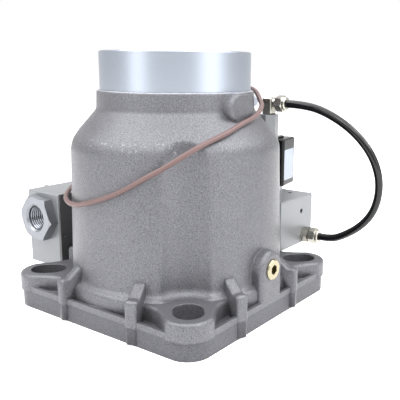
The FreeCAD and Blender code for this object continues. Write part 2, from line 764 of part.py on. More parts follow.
def main_casting():
    """One aluminium casting: flange, drum, shoulder and neck, with the servo cylinder inside."""
    upper_corner = FLANGE_CORNER_R + PARTING_STEP
    body = plate(FLANGE_HALF, FLANGE_CORNER_R, 0, PARTING_Z)
    upper = plate(UPPER_HALF, upper_corner, PARTING_Z, RIM_TOP_Z)
    upper = upper.cut(plate(UPPER_HALF - RIM_WALL, upper_corner - RIM_WALL, POCKET_FLOOR_Z, RIM_TOP_Z + 1))
    pieces = [upper, scalloped_drum(), plug_boss(), neck_boss(), blowoff_pad(), standpipe_boss()]
    for turn in (0, 90, 180, 270):
        pieces.append(turned(lug(), turn))
    for turn, offsets in ((0, (-RIB_FAR, RIB_NEAR)), (90, (-RIB_NEAR, RIB_FAR))):
        for offset in offsets:
            pieces += [turned(rib(offset), turn), turned(rib(offset), turn + 180)]
    body = body.fuse(pieces)
    cutters = [turned(slot_cutter(-1, LUG_TOP_Z + 1), turn) for turn in (0, 90, 180, 270)]
    cutters.append(chamber_cutter())
    body = body.cut(cutters)
    body = body.fuse(hub()).cut([manifold_seat()] + casting_holes())
    return body.removeSplitter()


def inlet_pipe():
    """Turned pipe for the filter hose; its spigot, with a sealing ring, sits in the neck."""
    groove = O_RING_WIRE / 2 * O_RING_ROOM
    return revolved([
        (PIPE_BORE_R, PIPE_SEAT_Z, 0),
        (PIPE_SPIGOT_R - PIPE_CHAMFER, PIPE_SEAT_Z, 0),
        (PIPE_SPIGOT_R, PIPE_SEAT_Z + PIPE_CHAMFER, 0),
        (PIPE_SPIGOT_R, O_RING_Z - groove, 0),
        (PIPE_SPIGOT_R - 2 * groove + FIT, O_RING_Z - groove, 0),
        (PIPE_SPIGOT_R - 2 * groove + FIT, O_RING_Z + groove, 0),
        (PIPE_SPIGOT_R, O_RING_Z + groove, 0),
        (PIPE_SPIGOT_R, NECK_TOP_Z, 0),
        (PIPE_R, NECK_TOP_Z, 0),
        (PIPE_R, PIPE_TOP_Z - PIPE_CHAMFER, 0),
        (PIPE_R - PIPE_CHAMFER, PIPE_TOP_Z, 0),
        (PIPE_BORE_R + PIPE_CHAMFER, PIPE_TOP_Z, 0),
        (PIPE_BORE_R, PIPE_TOP_Z - PIPE_CHAMFER, 0),
    ])


def inlet_o_ring():
    ring_r = PIPE_SPIGOT_R - O_RING_WIRE / 2 + FIT
    return Part.makeTorus(ring_r, O_RING_WIRE / 2 - FIT / 2, Vector(0, 0, O_RING_Z))


def stem_bush():
    roof_z = SERVO_ROOF_Z + SERVO_ROOF
    return revolved([
        (STEM_R + FIT, SERVO_ROOF_Z, 0),
        (BUSH_R, SERVO_ROOF_Z, 0),
        (BUSH_R, roof_z, 0),
        (BUSH_R + BUSH_FLANGE, roof_z, 0),
        (BUSH_R + BUSH_FLANGE, roof_z + BUSH_FLANGE_T, BUSH_EDGE_R),
        (STEM_R + FIT, roof_z + BUSH_FLANGE_T, 0),
    ])


def servo_cover():
    """Cover of the servo cylinder: a disc with a boss that centres the spring, and two vents."""
    top = COVER_FOOT_Z + COVER_T
    shape = cylinder(SERVO_R - FIT, COVER_FOOT_Z, top)
    shape = shape.fuse(cone(COVER_BOSS_R, COVER_BOSS_R - COVER_BOSS_DRAFT, top, top + COVER_BOSS_H))
    vent_x = SERVO_R - COVER_VENT_IN
    vents = [cylinder(AIR_R, COVER_FOOT_Z - 1, top + 1, side * vent_x, 0) for side in (-1, 1)]
    hollow = cylinder(COVER_BOSS_R - COVER_BOSS_WALL, COVER_FOOT_Z - 1, COVER_FOOT_Z + COVER_BOSS_H)
    return shape.cut(vents + [hollow])


def servo_cover_ring():
    """Open retaining ring in its groove below the cover."""
    top = COVER_FOOT_Z - FIT
    outer = SERVO_R + RING_GROOVE_DEPTH - 2 * FIT
    ring = cylinder(outer, top - RING_T, top).cut(cylinder(outer - RING_RADIAL, top - RING_T - 1, top + 1))
    half = RING_OPENING / 2
    return ring.cut(block((0, outer + 1), (-half, half), (top - RING_T - 1, top + 1)))


def valve_disc():
    """Turned poppet disc: thick hub, thin web and a stepped rim for the seal."""
    seal_r = DISC_R - SEAL_WIDTH
    hub_r = STEM_R + DISC_HUB_WALL
    rim_r = seal_r - DISC_RIM
    rim_z = SEAT_Z - SEAL_T - DISC_RIM_T
    return revolved([
        (STEM_END_R + FIT, DISC_FOOT_Z, 0),
        (hub_r, DISC_FOOT_Z, 0),
        (hub_r + DISC_HUB_SPREAD, DISC_TOP_Z - DISC_T, DISC_HUB_BEND_R),
        (rim_r, DISC_TOP_Z - DISC_T, DISC_RIM_BEND_R),
        (rim_r + DISC_RIM_SLOPE, rim_z, 0),
        (DISC_R, rim_z, DISC_EDGE_R),
        (DISC_R, SEAT_Z - SEAL_T, 0),
        (seal_r, SEAT_Z - SEAL_T, 0),
        (seal_r, DISC_TOP_Z, 0),
        (STEM_END_R + FIT, DISC_TOP_Z, 0),
    ])


def disc_seal():
    inner = DISC_R - SEAL_WIDTH + FIT
    return revolved([
        (inner, SEAT_Z - SEAL_T, 0),
        (DISC_R, SEAT_Z - SEAL_T, 0),
        (DISC_R, SEAT_Z, SEAL_EDGE_R),
        (inner, SEAT_Z, SEAL_LIP_R),
    ])


def valve_stem():
    """Stepped stem, threaded at both ends."""
    top = DISC_TOP_Z + WASHER_T + STEM_NUT_T + STEM_PROUD
    foot = PISTON_FOOT_Z - STEM_NUT_T - STEM_FOOT_PROUD
    return revolved([
        (0, foot, 0),
        (STEM_END_R - STEM_CHAMFER, foot, 0),
        (STEM_END_R, foot + STEM_CHAMFER, 0),
        (STEM_END_R, PISTON_TOP_Z, 0),
        (STEM_R, PISTON_TOP_Z, 0),
        (STEM_R, DISC_FOOT_Z, 0),
        (STEM_END_R, DISC_FOOT_Z, 0),
        (STEM_END_R, top - STEM_CHAMFER, 0),
        (STEM_END_R - STEM_CHAMFER, top, 0),
        (0, top, 0),
    ])


def stem_washer():
    ring = cylinder(WASHER_R, DISC_TOP_Z, DISC_TOP_Z + WASHER_T)
    return ring.cut(cylinder(STEM_END_R + FIT, DISC_TOP_Z - 1, DISC_TOP_Z + WASHER_T + 1))


def chamfered_nut(flats, bore, low, high):
    """Hexagon nut with turned corners."""
    corner = flats / 2 / cos(pi / 6)
    bevel = (corner - flats / 2) * NUT_BEVEL_SLOPE
    turning = revolved([
        (bore, low, 0),
        (flats / 2, low, 0),
        (corner, low + bevel, 0),
        (corner, high - bevel, 0),
        (flats / 2, high, 0),
        (bore, high, 0),
    ])
    return hexagon_z(flats, low, high).common(turning)


def stem_nut():
    low = DISC_TOP_Z + WASHER_T
    return chamfered_nut(NUT_FLATS, STEM_END_R + FIT, low, low + STEM_NUT_T)


def piston_nut():
    return chamfered_nut(NUT_FLATS, STEM_END_R + FIT, PISTON_FOOT_Z - STEM_NUT_T, PISTON_FOOT_Z)


def servo_piston():
    """Piston with a ring groove and a hollowed underside that takes the spring."""
    radius = SERVO_R - PISTON_PLAY
    middle = PISTON_TOP_Z - PISTON_T / 2
    groove_r = radius - PISTON_RING_DEPTH
    return revolved([
        (STEM_END_R + FIT, PISTON_FOOT_Z, 0),
        (radius - PISTON_CHAMFER, PISTON_FOOT_Z, 0),
        (radius, PISTON_FOOT_Z + PISTON_CHAMFER, 0),
        (radius, middle - PISTON_RING_T / 2, 0),
        (groove_r, middle - PISTON_RING_T / 2, 0),
        (groove_r, middle + PISTON_RING_T / 2, 0),
        (radius, middle + PISTON_RING_T / 2, 0),
        (radius, PISTON_TOP_Z - PISTON_CHAMFER, 0),
        (radius - PISTON_CHAMFER, PISTON_TOP_Z, 0),
        (STEM_END_R + FIT, PISTON_TOP_Z, 0),
    ])


def piston_ring():
    middle = PISTON_TOP_Z - PISTON_T / 2
    half = PISTON_RING_T / 2 - FIT
    ring = cylinder(SERVO_R - PISTON_RING_PLAY, middle - half, middle + half)
    inner = SERVO_R - PISTON_PLAY - PISTON_RING_DEPTH + FIT
    return ring.cut(cylinder(inner, middle - half - 1, middle + half + 1))


def closing_spring():
    low = COVER_FOOT_Z + COVER_T + FIT
    high = PISTON_FOOT_Z - FIT
    return coil_spring(SPRING_WIRE, SPRING_R, low, high, SPRING_TURNS, Vector(0, 0, 0), Vector(0, 0, 1))


def port_plug():
    """Hexagon socket plug in the drain boss."""
    out = UPPER_HALF + PLUG_PROUD
    rim_r = PLUG_R + PLUG_RIM
    shape = cylinder_x(PLUG_R, UPPER_HALF - PLUG_L, UPPER_HALF, 0, PLUG_Z)
    shape = shape.fuse([
        cylinder_x(rim_r, UPPER_HALF, out - PLUG_BEVEL, 0, PLUG_Z),
        cone_x(rim_r, rim_r - PLUG_BEVEL, out - PLUG_BEVEL, out, 0, PLUG_Z),
    ])
    socket = hexagon_x(PLUG_SOCKET_FLATS, out - PLUG_SOCKET_DEPTH, out + 1, 0, PLUG_Z, PLUG_SOCKET_TURN)
    return shape.cut(socket)


def blowoff_screw_holes(radius, start, end):
    return [cylinder_x(radius, start, end, y, z) for y in BLOCK_SCREW_Y for z in BLOCK_SCREW_Z]


def blowoff_spacer():
    shape = block((PAD_X - SPACER_T, PAD_X), BLOCK_Y, BLOCK_Z)
    holes = blowoff_screw_holes(BLOCK_SCREW_R + SCREW_PLAY, PAD_X - SPACER_T - 1, PAD_X + 1)
    holes.append(cylinder_x(CROSS_R, PAD_X - SPACER_T - 1, PAD_X + 1, CROSS_Y, SPOOL_Z))
    holes.append(cylinder_x(PILOT_HOLE_R, PAD_X - SPACER_T / 2, PAD_X + 1, PILOT_HOLE_Y, PILOT_HOLE_Z))
    return shape.cut(holes)


def blowoff_block():
    """Milled block with the stepped bore of the blow-off spool."""
    shape = milled_block(BLOCK_X, BLOCK_Y, BLOCK_Z, BLOCK_CHAMFER)
    cutters = [
        cylinder_y(PORT_THREAD_R, BLOCK_Y[0] - 1, BLOCK_Y[0] + PORT_THREAD_L, SPOOL_X, SPOOL_Z),
        cylinder_y(PASSAGE_R, BLOCK_Y[0], SPOOL_SEAT_Y, SPOOL_X, SPOOL_Z),
        cylinder_y(SPOOL_BORE_R, SPOOL_SEAT_Y, CAP_FOOT_Y, SPOOL_X, SPOOL_Z),
        cylinder_y(CAP_THREAD_R, CAP_FOOT_Y, BLOCK_Y[1] + 1, SPOOL_X, SPOOL_Z),
        cylinder_x(CROSS_R, SPOOL_X, BLOCK_X[1] + 1, CROSS_Y, SPOOL_Z),
    ]
    cutters += blowoff_screw_holes(BLOCK_SCREW_R + SCREW_PLAY, BLOCK_X[0] - 1, BLOCK_X[1] + 1)
    return shape.cut(cutters)


def blowoff_screws():
    """Four socket head screws through block and spacer into the pad."""
    screws = []
    out = BLOCK_X[0]
    for y in BLOCK_SCREW_Y:
        for z in BLOCK_SCREW_Z:
            shank = cylinder_x(BLOCK_SCREW_R, out, PAD_X + BLOCK_SCREW_GRIP, y, z)
            head = cylinder_x(BLOCK_SCREW_HEAD_R, out - BLOCK_SCREW_HEAD_T, out, y, z)
            head_x = out - BLOCK_SCREW_HEAD_T
            socket = hexagon_x(BLOCK_SCREW_SOCKET, head_x - 1, head_x + BLOCK_SCREW_HEAD_T / 2, y, z)
            screws.append(shank.fuse(head).cut(socket))
    return Part.makeCompound(screws)


def port_bush():
    """Hexagonal bush with an internal pipe thread, the connection of the blow-off line."""
    front = BLOCK_Y[0] - PORT_HEX_T
    corner = PORT_HEX_FLATS / 2 / cos(pi / 6)
    bar = hexagon_y(PORT_HEX_FLATS, front, BLOCK_Y[0], SPOOL_X, SPOOL_Z, PORT_HEX_TURN)
    bevel_end = front + PORT_HEX_BEVEL
    turning = cone_y(corner - PORT_HEX_BEVEL_R, corner, front, bevel_end, SPOOL_X, SPOOL_Z)
    turning = turning.fuse(cylinder_y(corner + 1, bevel_end, BLOCK_Y[0], SPOOL_X, SPOOL_Z))
    shape = bar.common(turning)
    spigot_end = BLOCK_Y[0] + PORT_THREAD_L - 1
    shape = shape.fuse(cylinder_y(PORT_THREAD_R - FIT, BLOCK_Y[0], spigot_end, SPOOL_X, SPOOL_Z))
    mouth = PORT_MOUTH_R - PORT_PIPE_R
    bore = cylinder_y(PORT_PIPE_R, front - 1, spigot_end + 1, SPOOL_X, SPOOL_Z)
    return shape.cut([bore, cone_y(PORT_MOUTH_R, PORT_PIPE_R, front, front + mouth, SPOOL_X, SPOOL_Z)])


def blowoff_spool():
    """Spool with a seating head, a neck and a guided skirt that holds the spring."""
    guide_r = SPOOL_BORE_R - SPOOL_PLAY
    head_end = SPOOL_SEAT_Y + SPOOL_HEAD_T
    shape = cylinder_y(guide_r - SPOOL_HEAD_PLAY, SPOOL_SEAT_Y, head_end, SPOOL_X, SPOOL_Z)
    shape = shape.fuse([
        cylinder_y(SPOOL_NECK_R, head_end, SPOOL_SKIRT_Y, SPOOL_X, SPOOL_Z),
        cylinder_y(guide_r, SPOOL_SKIRT_Y, SPOOL_SKIRT_END, SPOOL_X, SPOOL_Z),
    ])
    pocket_y = SPOOL_SKIRT_END - SPOOL_POCKET_L
    return shape.cut(cylinder_y(SPOOL_POCKET_R, pocket_y, SPOOL_SKIRT_END + 1, SPOOL_X, SPOOL_Z))


def blowoff_spring():
    start = SPOOL_SKIRT_END - SPOOL_POCKET_L + FIT
    radius = SPOOL_POCKET_R - SPOOL_SPRING_WIRE / 2 - SPOOL_SPRING_PLAY
    return coil_spring(
        SPOOL_SPRING_WIRE, radius, start, CAP_FOOT_Y - FIT, SPOOL_SPRING_TURNS,
        Vector(SPOOL_X, 0, SPOOL_Z), Vector(0, 1, 0))


def blowoff_cap():
    """Screwed cap that closes the spool bore."""
    seat = BLOCK_Y[1] + CAP_RING_T
    out = seat + CAP_FLANGE_T
    shape = cylinder_y(CAP_THREAD_R - FIT, CAP_FOOT_Y, seat, SPOOL_X, SPOOL_Z)
    shape = shape.fuse([
        cylinder_y(CAP_FLANGE_R, seat, out - CAP_BEVEL, SPOOL_X, SPOOL_Z),
        cone_y(CAP_FLANGE_R, CAP_FLANGE_R - CAP_BEVEL, out - CAP_BEVEL, out, SPOOL_X, SPOOL_Z),
    ])
    return shape.cut(hexagon_y(CAP_SOCKET_FLATS, out - CAP_SOCKET_DEPTH, out + 1, SPOOL_X, SPOOL_Z))


def blowoff_cap_ring():
    ring = cylinder_y(CAP_FLANGE_R, BLOCK_Y[1], BLOCK_Y[1] + CAP_RING_T, SPOOL_X, SPOOL_Z)
    return ring.cut(cylinder_y(CAP_THREAD_R, BLOCK_Y[1] - 1, BLOCK_Y[1] + CAP_RING_T + 1, SPOOL_X, SPOOL_Z))


def manifold_screw_holes(radius, start, end):
    return [cylinder_y(radius, start, end, x, MANIFOLD_SCREW_Z) for x in MANIFOLD_SCREW_X]


def manifold_gasket():
    shape = block(MANIFOLD_X, (MANIFOLD_SEAT_Y, MANIFOLD_FRONT_Y), MANIFOLD_Z)
    holes = manifold_screw_holes(MANIFOLD_SCREW_R + SCREW_PLAY, MANIFOLD_SEAT_Y - 1, MANIFOLD_FRONT_Y + 1)
    holes.append(cylinder_y(AIR_R, MANIFOLD_SEAT_Y - 1, MANIFOLD_FRONT_Y + 1, SOLENOID_X, STRAIGHT_Z))
    return shape.cut(holes)


def manifold_block():
    """Milled pilot block: valve port on top, hose port at the side, drilled passages between."""
    shape = milled_block(MANIFOLD_X, (MANIFOLD_FRONT_Y, MANIFOLD_BACK_Y), MANIFOLD_Z, BLOCK_CHAMFER)
    side_x = MANIFOLD_X[1]
    top_z = MANIFOLD_Z[1]
    cutters = [
        cylinder(TUBE_THREAD_R + FIT, PLUNGER_FOOT_Z, top_z + 1, SOLENOID_X, SOLENOID_Y),
        cylinder(ORIFICE_R, STRAIGHT_Z, PLUNGER_FOOT_Z, SOLENOID_X, SOLENOID_Y),
        cylinder_x(STRAIGHT_PORT_R + FIT, side_x - STRAIGHT_PORT_L, side_x + 1, STRAIGHT_Y, STRAIGHT_Z),
        cylinder_x(AIR_R, SOLENOID_X, side_x, STRAIGHT_Y, STRAIGHT_Z),
        cylinder_y(AIR_R, MANIFOLD_FRONT_Y - 1, SOLENOID_Y, SOLENOID_X, STRAIGHT_Z),
        cylinder(GRUB_R, top_z - GRUB_L - 1, top_z + 1, GRUB_TOP[0], GRUB_TOP[1]),
        cylinder_x(GRUB_R, side_x - GRUB_L - 1, side_x + 1, GRUB_SIDE[0], GRUB_SIDE[1]),
    ]
    hole_r = MANIFOLD_SCREW_R + SCREW_PLAY
    cutters += manifold_screw_holes(hole_r, MANIFOLD_FRONT_Y - 1, MANIFOLD_BACK_Y + 1)
    sink_r = MANIFOLD_SCREW_HEAD_R + MANIFOLD_SCREW_SUNK
    cutters += manifold_screw_holes(sink_r, MANIFOLD_HEAD_Y, MANIFOLD_BACK_Y + 1)
    return shape.cut(cutters)


def manifold_screws():
    """Two socket head screws that clamp the pilot block to the drum, heads sunk."""
    screws = []
    tip_y = MANIFOLD_SEAT_Y - MANIFOLD_SCREW_GRIP
    head_end = MANIFOLD_HEAD_Y + MANIFOLD_SCREW_HEAD_T
    for x in MANIFOLD_SCREW_X:
        shank = cylinder_y(MANIFOLD_SCREW_R, tip_y, MANIFOLD_HEAD_Y, x, MANIFOLD_SCREW_Z)
        head = cylinder_y(MANIFOLD_SCREW_HEAD_R, MANIFOLD_HEAD_Y, head_end, x, MANIFOLD_SCREW_Z)
        socket_y = head_end - MANIFOLD_SCREW_HEAD_T / 2
        socket = hexagon_y(MANIFOLD_SCREW_SOCKET, socket_y, head_end + 1, x, MANIFOLD_SCREW_Z)
        screws.append(shank.fuse(head).cut(socket))
    return Part.makeCompound(screws)


def manifold_plugs():
    """Grub plugs that close the two drillings of the pilot block, set just below the faces."""
    top_z = MANIFOLD_Z[1] - GRUB_SUNK
    side_x = MANIFOLD_X[1] - GRUB_SUNK
    top = cylinder(GRUB_R - FIT, top_z - GRUB_L, top_z, GRUB_TOP[0], GRUB_TOP[1])
    top = top.cut(hexagon_z(GRUB_SOCKET, top_z - GRUB_L / 2, top_z + 1, GRUB_TOP[0], GRUB_TOP[1]))
    side = cylinder_x(GRUB_R - FIT, side_x - GRUB_L, side_x, GRUB_SIDE[0], GRUB_SIDE[1])
    side = side.cut(hexagon_x(GRUB_SOCKET, side_x - GRUB_L / 2, side_x + 1, GRUB_SIDE[0], GRUB_SIDE[1]))
    return Part.makeCompound([top, side])


def valve_tube():
    """Core tube of the solenoid valve: threaded foot, hexagon and closed tube."""
    foot = PLUNGER_FOOT_Z
    shape = cylinder(TUBE_THREAD_R, foot, MANIFOLD_Z[1], SOLENOID_X, SOLENOID_Y)
    shape = shape.fuse([
        hexagon_z(TUBE_HEX_FLATS, MANIFOLD_Z[1], COIL_Z[0], SOLENOID_X, SOLENOID_Y),
        cylinder(TUBE_R, COIL_Z[0], TUBE_TOP_Z, SOLENOID_X, SOLENOID_Y),
    ])
    bore = cylinder(PLUNGER_R + PLUNGER_PLAY, foot - 1, TUBE_BORE_TOP_Z, SOLENOID_X, SOLENOID_Y)
    return shape.cut(bore)


def plunger():
    shape = cylinder(PLUNGER_R, PLUNGER_FOOT_Z, PLUNGER_TOP_Z, SOLENOID_X, SOLENOID_Y)
    pocket_z = PLUNGER_TOP_Z - PLUNGER_POCKET_L
    return shape.cut(cylinder(PLUNGER_POCKET_R, pocket_z, PLUNGER_TOP_Z + 1, SOLENOID_X, SOLENOID_Y))


def plunger_spring():
    low = PLUNGER_TOP_Z - PLUNGER_POCKET_L + FIT
    radius = PLUNGER_POCKET_R - PLUNGER_SPRING_WIRE / 2 - PLUNGER_SPRING_PLAY
    return coil_spring(
        PLUNGER_SPRING_WIRE, radius, low, TUBE_BORE_TOP_Z - FIT, PLUNGER_SPRING_TURNS,
        Vector(SOLENOID_X, SOLENOID_Y, 0), Vector(0, 0, 1))


def on_coil(shape):
    """Turn a shape drawn about the middle of the coil to where the coil stands."""
    placed = turned(shape, COIL_TURN)
    placed.translate(Vector(SOLENOID_X, SOLENOID_Y, 0))
    return placed


def coil():
    """Moulded coil on the core tube, with rounded corners and a bevelled top and foot."""
    half_x = COIL_SIZE[0] / 2
    half_y = COIL_SIZE[1] / 2
    shape = block((-half_x, half_x), (-half_y, half_y), COIL_Z)
    upright = edges_where(shape, lambda e: e.BoundBox.ZLength > COIL_Z[1] - COIL_Z[0] - 0.1)
    shape = shape.makeFillet(COIL_CORNER_R, upright)
    ends = edges_where(shape, lambda e: edge_at(e, 2, COIL_Z[0]) or edge_at(e, 2, COIL_Z[1]))
    shape = shape.makeChamfer(COIL_EDGE, ends)
    return on_coil(shape.cut(cylinder(TUBE_R + FIT, COIL_Z[0] - 1, COIL_Z[1] + 1)))


def coil_nut():
    """Low round nut that holds the coil on its tube."""
    low = COIL_Z[1]
    top = low + COIL_NUT_T
    shape = cylinder(COIL_NUT_R, low, top - COIL_NUT_BEVEL)
    shape = shape.fuse(cone(COIL_NUT_R, COIL_NUT_R - COIL_NUT_BEVEL, top - COIL_NUT_BEVEL, top))
    return on_coil(shape.cut(cylinder(TUBE_R + FIT, low - 1, top + 1)))


def lead_grommet():
    """Tapered sleeve where the lead leaves the coil."""
    return on_coil(cone_x(GROMMET_TIP_R, GROMMET_R, GROMMET_TIP_X, -COIL_SIZE[0] / 2, 0, GROMMET_Z))


def standpipe():
    """Hexagonal bar, bored through, between the drum and the elbow."""
    foot = STANDPIPE_FOOT_Z
    shape = hexagon_z(STANDPIPE_FLATS, foot, STANDPIPE_TOP_Z, STANDPIPE_X, STANDPIPE_Y, STANDPIPE_TURN)
    shape = shape.fuse(cylinder(SPIGOT_R, foot - SPIGOT_L, foot, STANDPIPE_X, STANDPIPE_Y))
    bore = cylinder(AIR_R, foot - SPIGOT_L - 1, STANDPIPE_TOP_Z, STANDPIPE_X, STANDPIPE_Y)
    socket_z = STANDPIPE_TOP_Z - ELBOW_SPIGOT_L - FIT
    socket = cylinder(ELBOW_SPIGOT_R + FIT, socket_z, STANDPIPE_TOP_Z + 1, STANDPIPE_X, STANDPIPE_Y)
    return shape.cut([bore, socket])


def elbow_fitting():
    """Right-angle fitting: square body on a spigot, with an arm for the union nut."""
    low = STANDPIPE_TOP_Z
    top = ELBOW_AXIS_Z + ELBOW_HALF
    body = block(
        (STANDPIPE_X - ELBOW_HALF, STANDPIPE_X + ELBOW_HALF),
        (STANDPIPE_Y - ELBOW_HALF, STANDPIPE_Y + ELBOW_HALF),
        (low, top))
    body = body.makeFillet(ELBOW_EDGE_R, body.Edges)
    body = body.fuse([
        cylinder(ELBOW_SPIGOT_R, low - ELBOW_SPIGOT_L, low + 2, STANDPIPE_X, STANDPIPE_Y),
        cylinder_x(ELBOW_ARM_R, STANDPIPE_X, ELBOW_ARM_END_X, STANDPIPE_Y, ELBOW_AXIS_Z),
    ])
    return body.cut([
        cylinder(AIR_R, low - ELBOW_SPIGOT_L - 1, ELBOW_AXIS_Z, STANDPIPE_X, STANDPIPE_Y),
        cylinder_x(AIR_R, STANDPIPE_X, ELBOW_ARM_END_X + 1, STANDPIPE_Y, ELBOW_AXIS_Z),
    ])


def union_nut(xs, y, z, arm_end, arm_r):
    """Hexagonal union nut with a round collar at the hose end."""
    start, end = xs
    collar = start + (end - start) * NUT_HEX_SHARE
    flat_r = FITTING_FLATS / 2
    corner = flat_r / cos(pi / 6)
    collar_r = flat_r - COLLAR_STEP
    bar = hexagon_x(FITTING_FLATS, start, collar, y, z, NUT_TURN)
    turning = cone_x(flat_r, corner, start, start + NUT_BEVEL, y, z)
    turning = turning.fuse([
        cylinder_x(corner, start + NUT_BEVEL, collar - NUT_BEVEL, y, z),
        cone_x(corner, flat_r, collar - NUT_BEVEL, collar, y, z),
    ])
    nut = bar.common(turning).fuse([
        cylinder_x(collar_r, collar, end - COLLAR_BEVEL, y, z),
        cone_x(collar_r, collar_r - COLLAR_BEVEL, end - COLLAR_BEVEL, end, y, z),
    ])
    return nut.cut([
        cylinder_x(arm_r + FIT, start - 1, arm_end + FIT, y, z),
        cylinder_x(AIR_R, arm_end, end + 1, y, z),
    ])


def elbow_nut():
    return union_nut(ELBOW_NUT_X, STANDPIPE_Y, ELBOW_AXIS_Z, ELBOW_ARM_END_X, ELBOW_ARM_R)


def straight_fitting():
    """Straight stud fitting in the side of the pilot block."""
    side_x = MANIFOLD_X[1]
    foot_x = side_x - STRAIGHT_PORT_L + FIT
    shape = cylinder_x(STRAIGHT_PORT_R, foot_x, side_x, STRAIGHT_Y, STRAIGHT_Z)
    shape = shape.fuse([
        hexagon_x(FITTING_FLATS, side_x, STRAIGHT_HEX_END, STRAIGHT_Y, STRAIGHT_Z),
        cylinder_x(ELBOW_ARM_R, STRAIGHT_HEX_END, STRAIGHT_STUB_END, STRAIGHT_Y, STRAIGHT_Z),
    ])
    return shape.cut(cylinder_x(AIR_R, foot_x - 1, STRAIGHT_STUB_END + 1, STRAIGHT_Y, STRAIGHT_Z))


def straight_nut():
    return union_nut(STRAIGHT_NUT_X, STRAIGHT_Y, STRAIGHT_Z, STRAIGHT_STUB_END, ELBOW_ARM_R)


def cord_tube(name, points, radius):
    """Round tube along straight runs joined by arcs as large as the runs allow."""
    radii = [0.0] * len(points)
    for i in range(1, len(points) - 1):
        back = points[i - 1] - points[i]
        ahead = points[i + 1] - points[i]
        turn = pi - back.getAngle(ahead)
        radii[i] = ARC_SHARE * min(back.Length, ahead.Length) / tan(turn / 2)
    wire = Part.Wire(path_edges(points, radii, False))
    section = Part.Wire(Part.Circle(points[0], points[1] - points[0], radius).toShape())
    tube = wire.makePipeShell([section], True, False)
    print(name, "radii", [round(r) for r in radii[1:-1]])
    ratio = tube.Volume / (pi * radius ** 2 * wire.Length)
    print(name, "length", round(wire.Length, 1), "volume ratio", round(ratio, 4))
    return tube


def pilot_hose():
    return cord_tube("pilot hose", [Vector(*point) for point in HOSE_ROUTE], HOSE_R)


def polar(angle, radius, height):
    return Vector(radius * cos(radians(angle)), radius * sin(radians(angle)), height)


def connector_place():
    """Middle of the connector and the direction that its lead leaves in."""
    angle = radians(CONNECTOR_ANGLE)
    return polar(CONNECTOR_ANGLE, CONNECTOR_AXIS_R, CONNECTOR_Z), Vector(-sin(angle), cos(angle), 0)


def coil_lead():
    middle, away = connector_place()
    start = middle + away * (CONNECTOR_L / 2)
    ends = []
    for run in (GROMMET_RUN, 0):
        tip = Part.Vertex(GROMMET_TIP_X - run, 0, GROMMET_Z)
        ends.append(on_coil(tip).Point)
    points = [start, start + away * CONNECTOR_RUN] + [polar(*point) for point in LEAD_ROUTE] + ends
    return cord_tube("coil lead", points, LEAD_R)


def lead_connector():
    """Round nylon plug on the free end of the lead."""
    half = CONNECTOR_L / 2
    inner = half - CONNECTOR_BEVEL
    small = CONNECTOR_R - CONNECTOR_BEVEL
    shape = cylinder(CONNECTOR_R, -inner, inner)
    shape = shape.fuse([cone(small, CONNECTOR_R, -half, -inner), cone(CONNECTOR_R, small, inner, half)])
    middle, away = connector_place()
    shape.Placement = FreeCAD.Placement(middle, FreeCAD.Rotation(Vector(0, 0, 1), away))
    return shape


NODES = [
    main_casting, inlet_pipe, inlet_o_ring, stem_bush, servo_cover, servo_cover_ring,
    valve_disc, disc_seal, valve_stem, stem_washer, stem_nut, servo_piston, piston_ring, piston_nut,
    closing_spring, port_plug,
    blowoff_spacer, blowoff_block, blowoff_screws, port_bush, blowoff_spool, blowoff_spring,
    blowoff_cap, blowoff_cap_ring,
    manifold_gasket, manifold_block, manifold_screws, manifold_plugs,
    valve_tube, plunger, plunger_spring, coil, coil_nut, lead_grommet,
    standpipe, elbow_fitting, elbow_nut, straight_fitting, straight_nut,
    pilot_hose, coil_lead, lead_connector,
]

os.makedirs("parts", exist_ok=True)
for node in NODES:
    shape = node()
    print(node.__name__, len(shape.Solids), "solid", round(shape.Volume), "mm3", shape.isValid())
    shape.exportStep("parts/" + node.__name__ + ".step")
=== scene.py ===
import json
from math import atan2, cos, pi, radians, sin, tan

import bpy
from mathutils import Matrix, Vector


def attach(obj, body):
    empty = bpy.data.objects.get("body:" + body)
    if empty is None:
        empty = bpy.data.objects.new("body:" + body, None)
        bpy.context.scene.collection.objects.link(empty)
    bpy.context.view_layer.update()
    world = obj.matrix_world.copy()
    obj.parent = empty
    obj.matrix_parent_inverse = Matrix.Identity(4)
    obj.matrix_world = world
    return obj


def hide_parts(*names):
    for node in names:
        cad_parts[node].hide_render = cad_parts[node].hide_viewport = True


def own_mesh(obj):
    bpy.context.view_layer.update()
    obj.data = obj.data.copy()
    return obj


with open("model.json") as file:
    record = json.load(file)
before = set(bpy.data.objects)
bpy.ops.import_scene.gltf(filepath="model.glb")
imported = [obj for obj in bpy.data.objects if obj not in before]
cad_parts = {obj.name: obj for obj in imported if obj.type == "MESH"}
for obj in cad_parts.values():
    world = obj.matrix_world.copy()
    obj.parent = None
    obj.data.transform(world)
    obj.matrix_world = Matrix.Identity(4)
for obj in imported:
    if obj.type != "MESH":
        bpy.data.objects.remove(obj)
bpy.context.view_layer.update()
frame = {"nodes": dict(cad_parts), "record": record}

MM = 0.001
nodes = frame["nodes"]
scene = bpy.context.scene


# Camera: where the photograph was taken from

IMAGE_PX = 400
FOCAL_PX = 609.16
OPTICAL_CENTRE_PX = (242.43, 190.71)
SENSOR_MM = 36.0
CAMERA_DISTANCE = 428.07 * MM
CAMERA_HEIGHT = 165.6 * MM
CAMERA_TURN = radians(41.4)
CAMERA_PITCH = radians(11.67)
CAMERA_ROLL = radians(-0.63)
CAMERA_YAW = radians(-6.24)
CAMERA_CLIP = (0.01, 100.0)


def seen_from_front(x, y, z):
    """A direction or place given from the viewer's side: x right, y away, z up."""
    turn = CAMERA_TURN
    return Vector((x * cos(turn) - y * sin(turn), x * sin(turn) + y * cos(turn), z))


